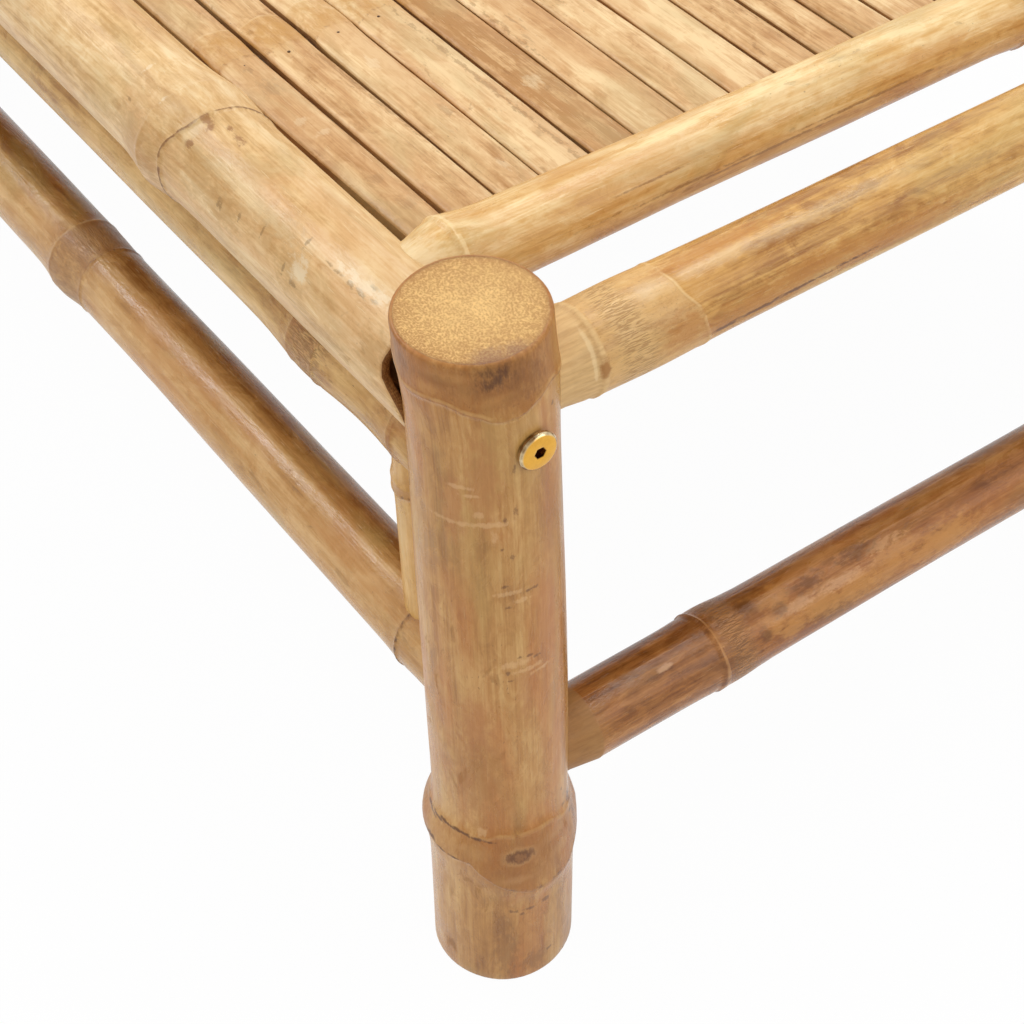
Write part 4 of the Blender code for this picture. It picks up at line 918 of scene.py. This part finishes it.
for name, x, half, body in (("foot_cover", COVER_X, 0.289, "frame"), ("back_cover", -COVER_X, 0.2645, "back")):
    def cover_girth(t):
        """Thickest at its right end, and rounded off over the last 26 mm."""
        tapered = max(0.0, 1 - min(t, 2 * half - t) / 0.026)
        return COVER_RADIUS + 0.0004 + 0.0012 * max(0.0, 1 - t / 0.13) - 0.0050 * tapered

    joints = rings_along(COVER_JOINT - (LEG_Y - half), 2 * half, spacing=0.30, wide=0.0012, swell=0.0014,
                         spread=0.010, tint=0.0, halo=0.0, line=0.0, edge=0.9)
    bm = culm(f"{name}_culm", *crosswise(x, half, COVER_HEIGHT), COVER_RADIUS, joints, 44, bend=0.0006,
              shade=cover_painted_light, own_girth=cover_girth)
    for v in bm.verts:
        v.co.z = max(v.co.z, DECK_TOP + 0.0003)
    put(f"{name}_culm", bm, [cover_skin, pole_end], body, [f"{name}_pole"], "pole_bamboo")


# Bearers: poles across under the deck, let into the side rails, planed flat on top for the slats;
# below them the pole that the back lies on and the pole under the racks' front ends.

BEARERS = (0.713, 0.2765, -0.160)
BEARER_HEIGHT, BEARER_TOP, BEARER_REACH = 0.3117, 0.3247, 0.294
CROSS_REACH, CROSS_RADIUS = 0.305, 0.0138
SLIGHT_JOINT = {"wide": 0.008, "swell": 0.0008, "spread": 0.012}
for n, x in enumerate(BEARERS):
    joints = rings_along(0.100 + 0.03 * n, 2 * BEARER_REACH, wide=0.008, swell=0.0012, spread=0.012)
    bm = culm(f"bearer_pole_{n + 1}", *crosswise(x, BEARER_REACH, BEARER_HEIGHT), 0.013, joints, 36, bend=0.0004)
    for v in bm.verts:
        v.co.z = min(v.co.z, BEARER_TOP)
    put(f"bearer_pole_{n + 1}", bm, [straw_skin, pole_end], "frame", [f"seat_bearer_{n + 1}"], "pole_bamboo")
for name, node, x, z in (("back_support_culm", "back_support_pole", -0.900, 0.2729),
                         ("rack_bearer_culm", "rack_bearer", -0.500, 0.2724)):
    pole(name, node, straw_skin, *crosswise(x, CROSS_REACH, z), CROSS_RADIUS,
         rings_along(0.12, 2 * CROSS_REACH, **SLIGHT_JOINT), 36, bend=0.0003)


# Slats: strips split from thick culms, skin side up, crowned, with raw split edges that wander a little.
# Each is nailed to the bearers; the gaps between them stay dark.

SLAT_SHARES = (248, 247, 233, 265, 235, 285, 250, 262, 248, 220, 245, 270, 280, 260, 285, 270, 265, 250, 280, 272)
SLAT_TONES = (-0.05, 0.05, 0.2, 0.4, -0.6, 0.0, 0.45, 0.6, 0.0, 0.05, -0.1, 0.25, 0.1, -0.3, 0.35, 0.05, 0.2, -0.1,
              0.3, 0.1)
# The right side's gaps in millimetres, at the joints' line and at the cover pole; the others are all alike
SLAT_GAPS = ((2.2, 5.6), (2.7, 3.2), (2.4, 1.5), (1.7, 0.9), (1.8, 2.2), (0.9, 1.2), (1.4, 1.6))
OTHER_GAP = (2.1, 2.1)
DECK_HALF, DECK_LOW = 0.2585, 0.325
SLAT_END_X, SLAT_HINGE_END_X = 0.901, -0.206
SLAT_JOINT = 0.026
CROWN = 0.0011


def on_deck(x, y, along, across):
    """A place on the slats, in millimetres from the lounger's middle."""
    return (x / 1000, y / 1000, DECK_TOP, along, across, 20)


SLAT_MARKS = marks_on(
    on_deck,
    # Mould specks along the split edges, scuffs, and the warm tone of the strips beside a joint
    ("8A6436", 0.45, 0.5, 6.0, (800, -166, 110, 2.2), (780, -211.5, 60, 1.6), (760, -133, 50, 1.4),
     (720, -60, 60, 1.4)),
    ("F2DFB8", 0.28, 0.6, 4.0, (765, -247, 4, 7), (778, -244, 3, 6), (745, -198, 8, 5), (845, -195, 10, 3),
     (800, -148, 9, 6)),
    ("9A7A52", 0.32, 0.7, 3.5, (820, -244, 7, 5), (842, -242, 8, 6), (716, -246, 4, 3), (735, -245, 12, 8),
     (835, -170, 5, 4)),
)
slat_skin = bamboo_skin("varnished_split_bamboo", "AE7E48", "D2A874", "EACA98", "C08C42", "6E4420", warm="C4905A",
                        cool="B8A270", contrast=1.15, stains=0.35, freckles=0.5, roughness=0.40, marks=SLAT_MARKS)
slat_edge = bamboo_skin("raw_split_edge", "6E451E", "8E6032", "AC7C48", "6E451E", "40220E", stains=0.3,
                        freckles=0.0, roughness=0.7)


def slat_places():
    """The middle of the gap on either side of each slat, from the right side of the deck to the left."""
    y, places = -DECK_HALF, []
    for share in SLAT_SHARES:
        wide = 2 * DECK_HALF * share / sum(SLAT_SHARES)
        y += wide
        places.append((y - wide, y))
    return places


def gap_beside(number, x):
    """How far a slat's edge stands back at x from the middle of the numbered gap."""
    start, end = SLAT_GAPS[number] if number < len(SLAT_GAPS) else OTHER_GAP
    width = start + (end - start) * eased_in((x - 0.69) / 0.20)
    return width / (1000 if number in (0, len(SLAT_SHARES)) else 2000)


def slat_joints(i, low, high):
    """The culm that gave each run of slats had its joints in one line, so those of neighbours nearly meet."""
    first = 0.695 - SLAT_JOINT / 2 + 0.001 * (i % 5) - (0.37 * (i // 5)) % 1 * 0.35
    return [first - 0.35 * n for n in range(-3, 8) if low + 0.03 < first - 0.35 * n < high - 0.06]


def strip(chance, x_low, x_high, y_low, y_high, z_low, z_high, joints, tone, number=None):
    """One strip: its cross-section is drawn once and swept along, then each section is made uneven."""
    bm = bmesh.new()
    spots = {x_low, x_high}
    for joint in joints:
        near = (0.0008, 0.002, 0.004, 0.008, 0.014, 0.022)
        spots |= {joint - s for s in near} | {joint + SLAT_JOINT + s for s in near}
        spots |= {joint + SLAT_JOINT * s for s in (0, 0.03, 0.1, 0.2, 0.35, 0.5, 0.65, 0.8, 0.9, 0.97, 1)}
    kept = [x_low]
    for x in sorted(s for s in spots if x_low < s <= x_high):
        while x - kept[-1] > 0.028:
            kept.append(kept[-1] + 0.02)
        if x - kept[-1] > 0.0003:
            kept.append(x)
    last = len(kept) - 1
    spot = bm.verts.layers.int.new("spot")
    layer = {key: bm.verts.layers.float.new(key) for key in PAINTED}
    grain = bm.verts.layers.float_vector.new("grain")
    # Cross-section as shares of the width and of the height, anticlockwise seen from the foot end
    section = ((0.03, 0.0), (0.97, 0.0), (0.985, 0.45), (1.0, 0.80), (0.985, 0.90), (0.94, 0.955), (0.80, 0.985),
               (0.62, 1.0), (0.38, 1.0), (0.20, 0.985), (0.06, 0.955), (0.015, 0.90), (0.0, 0.80), (0.015, 0.45))
    raw_spots = {0, 1, 2, 3, 12, 13}
    made = []
    for n, (a, b) in enumerate(section):
        v = bm.verts.new((0.0, a, b))
        v[spot] = n
        made.append(v)
    edges = [bm.edges.new((a, b)) for a, b in zip(made, made[1:] + made[:1])]
    bmesh.ops.spin(bm, geom=[*made, *edges], cent=(0, 0, 0), axis=(0, 0, 1), angle=0.0, dvec=(1.0, 0.0, 0.0),
                   steps=last)
    ends = {0: [], last: []}
    seed = chance.uniform(0, 60)
    tilt = {joint: (chance.uniform(-0.004, 0.004), chance.uniform(-0.0012, 0.0012)) for joint in joints}
    for v in bm.verts:
        i = round(v.co.x)
        x, a, b = kept[i], v.co.y, v.co.z
        if i in ends:
            ends[i].append(v)
        wander = noise.noise(Vector((x * 11, seed, 0.0 if a < 0.5 else 9.0)))
        ragged = noise.noise(Vector((x * 60, seed, 4.0 if a < 0.5 else 13.0)))
        edge = 0.0011 * wander + 0.0003 * ragged
        up = 0.0005 * noise.noise(Vector((x * 8, a, seed)))
        arch = 1 - (2 * a - 1) ** 2
        near_a = near_b = NO_LINE_NEAR
        move = 0.0
        for joint in joints:
            d, e = x - joint, x - joint - SLAT_JOINT
            near_a, near_b = min(near_a, max(abs(e), 0.0009)), min(near_b, max(abs(d), 0.0006))
            hump = bell(d - SLAT_JOINT / 2, 0.014)
            up += (0.0006 * hump + 0.0002 * bell(e, 0.001)) * b
            edge += (0.0003 if a > 0.5 else -0.0003) * hump + tilt[joint][1] * bell(e + 0.004, 0.010)
            slanted = tilt[joint][0] * (a - 0.5) - 0.004 * arch + 0.0008 * math.sin(9 * a + seed)
            move += slanted * max(0.0, 1 - abs(d - SLAT_JOINT / 2) / 0.035)
            if -1e-6 <= d and e <= 1e-6:
                v[layer["band"]] = 0.28
            v[layer["halo"]] = max(v[layer["halo"]], 0.6 * hump)
        v[layer["line_a"]], v[layer["line_b"]] = near_a, near_b
        v[layer["shade"]] = tone + 0.15 * noise.noise(Vector((x * 3, seed, 2.0)))
        # Split faces slant, so that a gap narrows downwards
        slant = 0.25 + 0.75 * min(b, 1.0)
        gaps = (0.00105, 0.00105) if number is None else (gap_beside(number, x), gap_beside(number + 1, x))
        near, far = y_low + gaps[0] * slant, y_high - gaps[1] * slant
        across = near + (far - near) * a + edge * (1.0 if number is None else 0.5)
        lift = z_low + (z_high - z_low) * b + (up + CROWN * arch - CROWN) * b
        v.co = Vector((x + (move if 0 < i < last else chance.uniform(-0.0003, 0.0003)), across, lift))
        v[grain] = (across + seed, lift, v.co.x)
    for i, loop in ends.items():
        loop.sort(key=lambda v: v[spot])
        bm.faces.new(loop if i == 0 else loop[::-1])
    for face in bm.faces:
        face.smooth = True
        if len(face.verts) > 4 or {v[spot] for v in face.verts} <= raw_spots:
            face.material_index = 1
    bmesh.ops.recalc_face_normals(bm, faces=bm.faces)
    return bm


for i, (y_low, y_high) in enumerate(slat_places()):
    bm = strip(random.Random(f"slat {i}"), SLAT_HINGE_END_X, SLAT_END_X, y_low, y_high, DECK_LOW, DECK_TOP,
               slat_joints(i, SLAT_HINGE_END_X, SLAT_END_X), SLAT_TONES[i], i)
    put(f"seat_strip_{i + 1:02d}", bm, [slat_skin, slat_edge], "frame", [f"seat_slat_{i + 1:02d}"], "slat_bamboo")


# Back panel: the same strips, nailed across three flat battens of split bamboo.

BACK_HINGE_END_X = -0.222
BATTENS = (-0.320, -0.605, -0.870)
BATTEN_REACH, BATTEN_HALF, BATTEN_LOW, BATTEN_TOP = 0.256, 0.015, 0.3155, 0.3255
panel = bmesh.new()
for i, (y_low, y_high) in enumerate(slat_places()):
    bm = strip(random.Random(f"back slat {i}"), -SLAT_END_X, BACK_HINGE_END_X, y_low, y_high, DECK_LOW, DECK_TOP,
               slat_joints(i, -SLAT_END_X, BACK_HINGE_END_X), SLAT_TONES[(i * 7 + 3) % 20])
    loose = bpy.data.meshes.new("loose_strip")
    bm.to_mesh(loose)
    bm.free()
    panel.from_mesh(loose)
    bpy.data.meshes.remove(loose)
put("back_strips", panel, [slat_skin, slat_edge], "back", ["back_slat_panel"], "slat_bamboo")
for n, x in enumerate(BATTENS):
    bm = strip(random.Random(f"batten {n}"), -BATTEN_REACH, BATTEN_REACH, -BATTEN_HALF, BATTEN_HALF, BATTEN_LOW,
               BATTEN_TOP, [0.07 * n - 0.09], 0.1)
    swapped = Matrix(((0, 1, 0, x), (1, 0, 0, 0), (0, 0, 1, 0), (0, 0, 0, 1)))
    bmesh.ops.transform(bm, matrix=swapped, verts=bm.verts)
    bmesh.ops.recalc_face_normals(bm, faces=bm.faces)
    put(f"back_batten_{n + 1}", bm, [slat_skin, slat_edge], "back", [], "slat_bamboo")


# Back frame: the hinge pole with a stile at each side, all under the battens.
# The hinge pole turns on two bolts through the sub-rails.

HINGE_X, HINGE_HEIGHT, HINGE_REACH = -0.235, 0.3012, 0.2783
STILE_Y, STILE_START, STILE_END = 0.251, HINGE_X - 0.010, -0.920
pole("hinge_pole_culm", "back_hinge_pole", golden_skin, *crosswise(HINGE_X, HINGE_REACH, HINGE_HEIGHT),
     CROSS_RADIUS, rings_along(0.10, 0.556, **SLIGHT_JOINT), 36, bend=0.0003, body="back")
for side, side_sign in SIDES:
    joints = rings_along(0.11 + 0.03 * (side == "left"), 0.672, **SLIGHT_JOINT)
    y = side_sign * STILE_Y
    pole(f"stile_pole_{side}", f"back_stile_{side}", straw_skin, (STILE_START, y, HINGE_HEIGHT),
         (STILE_END, y, HINGE_HEIGHT), CROSS_RADIUS, joints, 36, bend=0.0003, body="back")


# Prop frame: two thin arms that swing on pegs in the stiles, with a foot bar across their ends.
# It holds the back up, with the bar in a notch of the racks.

PEG_X, PEG_RADIUS, PEG_LENGTH = -0.545, 0.004, 0.0255
ARM_Y, ARM_RADIUS = 0.225, 0.009
FOOT_BAR_X, FOOT_BAR_REACH, FOOT_BAR_RADIUS = -0.855, 0.2335, 0.0118
for side, side_sign in SIDES:
    y = side_sign * ARM_Y
    bm = culm(f"arm_pole_{side}", (PEG_X + 0.012, y, HINGE_HEIGHT), (FOOT_BAR_X + 0.004, y, HINGE_HEIGHT),
              ARM_RADIUS, [ring(0.155, wide=0.006, swell=0.0005, spread=0.010)], 28, bend=0.0003, rim=0.0025)
    peg_place = Matrix.Translation((PEG_X, side_sign * (ARM_Y + PEG_LENGTH / 2), HINGE_HEIGHT))
    bmesh.ops.create_cone(bm, cap_ends=True, segments=20, radius1=PEG_RADIUS, radius2=PEG_RADIUS, depth=PEG_LENGTH,
                          matrix=peg_place @ Matrix.Rotation(math.pi / 2, 4, "X"))
    put(f"arm_pole_{side}", bm, [golden_skin, pole_end], "prop", [f"prop_arm_{side}"], "pole_bamboo")
pole("foot_bar_culm", "prop_foot_bar", golden_skin, *crosswise(FOOT_BAR_X, FOOT_BAR_REACH, HINGE_HEIGHT),
     FOOT_BAR_RADIUS, rings_along(0.11, 2 * FOOT_BAR_REACH, wide=0.006, swell=0.0004, spread=0.010), 32,
     bend=0.0002, body="prop")


# Racks: two planed hardwood battens with four notches each for the foot bar.
# They lie on the rack bearer and the back support pole, screwed down.

RACK_Y, RACK_WIDTH, RACK_LOW, RACK_HIGH = 0.195, 0.022, 0.2585, 0.2885
RACK_HEAD_X, RACK_FOOT_X = -0.892, -0.508
NOTCHES = (-0.5450, -0.6335, -0.7269, -0.7969)
NOTCH_RADIUS, NOTCH_DEPTH = 0.0121, 0.0062


def planed_hardwood(name):
    """Planed, unvarnished hardwood: dull, with growth bands 5 x 150 mm and straight pores 0.5 x 6 mm."""
    material, tree = blank(name)
    place = add(tree, "TexCoord").outputs["Object"]
    bands = pattern(tree, place, (150, 5, 5), 0.35, 0.65)
    pores = pattern(tree, place, (6, 0.5, 0.5), 0.60, 0.70)
    colour = add(tree, "Mix", {0: bands, 6: linear("B8875A"), 7: linear("9A683C")}, data_type="RGBA")
    colour = laid_over(tree, colour, [("6A4426", pores, 0.6)])
    rough = add(tree, "MapRange", {0: bands, 3: 0.56, 4: 0.68})
    bump = add(tree, "Bump", {"Height": pores, "Strength": 0.4, "Distance": 0.0002}, invert=True)
    add(tree, "OutputMaterial", {0: add(tree, "BsdfPrincipled", {
        "Base Color": colour, "Roughness": rough, "Normal": bump})})
    return material


hardwood = planed_hardwood("planed_hardwood")
for side, side_sign in SIDES:
    outline = [(RACK_HEAD_X, RACK_LOW), (RACK_FOOT_X, RACK_LOW), (RACK_FOOT_X, RACK_HIGH)]
    notch_middle = RACK_HIGH - NOTCH_DEPTH + NOTCH_RADIUS
    for x in NOTCHES:
        for a in (math.radians(degrees) for degrees in (60, 40, 20, 0, -20, -40, -60)):
            outline.append((x + NOTCH_RADIUS * math.sin(a), notch_middle - NOTCH_RADIUS * math.cos(a)))
    outline.append((RACK_HEAD_X, RACK_HIGH))
    bm = bmesh.new()
    near = side_sign * RACK_Y - RACK_WIDTH / 2
    face = bm.faces.new([bm.verts.new((x, near, min(z, RACK_HIGH))) for x, z in outline])
    made = bmesh.ops.extrude_face_region(bm, geom=[face])
    moved = [v for v in made["geom"] if isinstance(v, bmesh.types.BMVert)]
    bmesh.ops.translate(bm, vec=(0, RACK_WIDTH, 0), verts=moved)
    bmesh.ops.recalc_face_normals(bm, faces=bm.faces)
    sharp = [e for e in bm.edges if len(e.link_faces) == 2 and e.calc_face_angle(0) > 0.6]
    bmesh.ops.bevel(bm, geom=sharp, offset=0.0009, segments=2, profile=0.5, affect="EDGES", material=-1)
    put(f"rack_batten_{side}", bm, [hardwood], "frame", [f"rack_{side}"], "hardwood")


# Bolts: brass-plated furniture bolts with flat round heads and a hexagon socket, one through each leg
# into its rails and one at each end of the hinge pole.

BOLT_RADIUS, BOLT_HEAD, SHANK_RADIUS = 0.0085, 0.003, 0.0035
SOCKET_HALF = 0.0022
CORNER_BOLT = (0.9992, 0.2893, 0.3358)
HINGE_BOLT_Y = 0.3112


def plated_brass(name):
    """Brass plating on turned steel: bright and yellow, with turning marks of 0.25 mm and finger smears of
    5 mm, a painted reflection on the rim, pale, and dark where the smears fall, and darker in the socket."""
    material, tree = blank(name)
    grain = add(tree, "Attribute", attribute_name="grain").outputs["Vector"]
    out = add(tree, "SeparateXYZ", {0: grain}).outputs["X"]
    turned = pattern(tree, grain, (0.25, 0.25, 0.25), 0.0, 1.0)
    smear = pattern(tree, grain, (5, 5, 5), 0.25, 0.75)
    # Painted reflection: the rim is painted pale, and dark where the smears fall
    rim = add(tree, "MapRange", {0: out, 1: BOLT_RADIUS - 0.0012, 2: BOLT_RADIUS - 0.0004},
              interpolation_type="SMOOTHSTEP")
    darker_socket = add(tree, "MapRange", {0: out, 1: SOCKET_HALF + 0.0004, 2: SOCKET_HALF, 4: 0.8},
               interpolation_type="SMOOTHSTEP")
    colour = add(tree, "Mix", {0: smear, 6: linear("E8B04A"), 7: linear("DCA444")}, data_type="RGBA")
    # The rim's painted reflection, pale then dark, and the darker socket
    colour = laid_over(tree, colour, [("F6E2B6", rim), ("6A4620", rim, smear), ("4A3014", darker_socket)])
    rough = add(tree, "MapRange", {0: smear, 3: 0.12, 4: 0.20})
    bump = add(tree, "Bump", {"Height": turned, "Strength": 0.12, "Distance": 0.0001})
    add(tree, "OutputMaterial", {0: add(tree, "BsdfPrincipled", {
        "Base Color": colour, "Roughness": rough, "Metallic": 1.0, "Normal": bump})})
    return material


def bolt(place, out, shank):
    """A head and shank spun from one profile; the inner rows are drawn out to a hexagon."""
    head = ((-0.0004, 0.0), (-0.0004, SOCKET_HALF), (BOLT_HEAD - 0.0002, SOCKET_HALF),
            (BOLT_HEAD, SOCKET_HALF + 0.0004), (BOLT_HEAD, SOCKET_HALF + 0.0012), (BOLT_HEAD, BOLT_RADIUS - 0.0017),
            (BOLT_HEAD - 0.0003, BOLT_RADIUS - 0.0010), (BOLT_HEAD - 0.0008, BOLT_RADIUS - 0.0004),
            (BOLT_HEAD - 0.0015, BOLT_RADIUS), (0.0004, BOLT_RADIUS), (0.0, BOLT_RADIUS - 0.0004),
            (0.0, SHANK_RADIUS), (-shank, SHANK_RADIUS), (-shank, 0.0))
    bm = bmesh.new()
    made = [bm.verts.new((w, 0.0, t)) for t, w in head]
    for a, b in zip(made, made[1:]):
        bm.edges.new((a, b))
    bmesh.ops.spin(bm, geom=[*bm.verts, *bm.edges], cent=(0, 0, 0), axis=(0, 0, 1), angle=math.tau, steps=36,
                   use_merge=True)
    bmesh.ops.remove_doubles(bm, verts=bm.verts, dist=1e-7)
    grain = bm.verts.layers.float_vector.new("grain")
    for v in bm.verts:
        wide = math.hypot(v.co.x, v.co.y)
        if 1e-5 < wide < SOCKET_HALF + 0.0006 and v.co.z > -0.001:
            angle = math.atan2(v.co.y, v.co.x) % (math.pi / 3) - math.pi / 6
            v.co.xy *= 1 / math.cos(angle)
        v[grain] = (wide, abs(math.atan2(v.co.y, v.co.x)) * 0.008, v.co.z)
    bmesh.ops.recalc_face_normals(bm, faces=bm.faces)
    for face in bm.faces:
        face.smooth = True
    for edge in bm.edges:
        if edge.calc_face_angle(0) > 0.5:
            edge.smooth = False
    turn = Vector(out).to_track_quat("Z", "Y").to_matrix().to_4x4()
    bmesh.ops.transform(bm, matrix=Matrix.Translation(place) @ turn, verts=bm.verts)
    return bm


brass = plated_brass("brass_plated_steel")
x, y, z = CORNER_BOLT
for end, end_sign in ENDS:
    for side, side_sign in SIDES:
        put(f"bolt_head_{end}_{side}", bolt((end_sign * x, side_sign * y, z), (end_sign, 0, 0), 0.02), [brass],
            "frame", [f"corner_bolt_{end}_{side}"], "brass")
for side, side_sign in SIDES:
    put(f"hinge_bolt_head_{side}", bolt((HINGE_X, side_sign * HINGE_BOLT_Y, HINGE_HEIGHT), (0, side_sign, 0), 0.045),
        [brass], "frame", [f"hinge_bolt_{side}"], "brass")


# Nails: small round steel heads that hold each slat to the bearers and battens under it,
# driven flush and a little rusty.

NAIL_RADIUS, NAIL_FLATNESS = 0.0008, 0.45


def nail_steel(name):
    """Bare wire nail under varnish: dark, uneven, hardly shiny, with rust in spots of about 1 mm."""
    material, tree = blank(name)
    place = add(tree, "TexCoord").outputs["Object"]
    rust = add(tree, "TexNoise", {"Vector": place, "Scale": 900.0, "Detail": 3.0})
    rusty = add(tree, "MapRange", {0: rust, 1: 0.35, 2: 0.65}, interpolation_type="SMOOTHSTEP")
    colour = add(tree, "Mix", {0: rusty, 6: linear("6B5138"), 7: linear("3A2A1E")}, data_type="RGBA")
    rough = add(tree, "MapRange", {0: rusty, 3: 0.35, 4: 0.6})
    bump = add(tree, "Bump", {"Height": rusty, "Strength": 0.3, "Distance": 0.0001})
    add(tree, "OutputMaterial", {0: add(tree, "BsdfPrincipled", {
        "Base Color": colour, "Roughness": rough, "Metallic": 0.7, "Normal": bump})})
    return material


steel = nail_steel("wire_nail_steel")
for name, body, lines in (("seat_nails", "frame", BEARERS), ("back_nails", "back", BATTENS)):
    bm = bmesh.new()
    chance = random.Random(name)
    for y_low, y_high in slat_places():
        for x in lines:
            place = (x + chance.uniform(-0.002, 0.002), (y_low + y_high) / 2 + chance.uniform(-0.002, 0.002),
                     DECK_TOP - 0.0002)
            flat = Matrix.Translation(place) @ Matrix.Diagonal((1, 1, NAIL_FLATNESS, 1))
            bmesh.ops.create_uvsphere(bm, u_segments=10, v_segments=5, radius=NAIL_RADIUS, matrix=flat)
    for face in bm.faces:
        face.smooth = True
    put(name, bm, [steel], body, [], "brass")


low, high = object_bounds()
{"cad": [list(cad_low), list(cad_high)], "visual": [list(low), list(high)]}
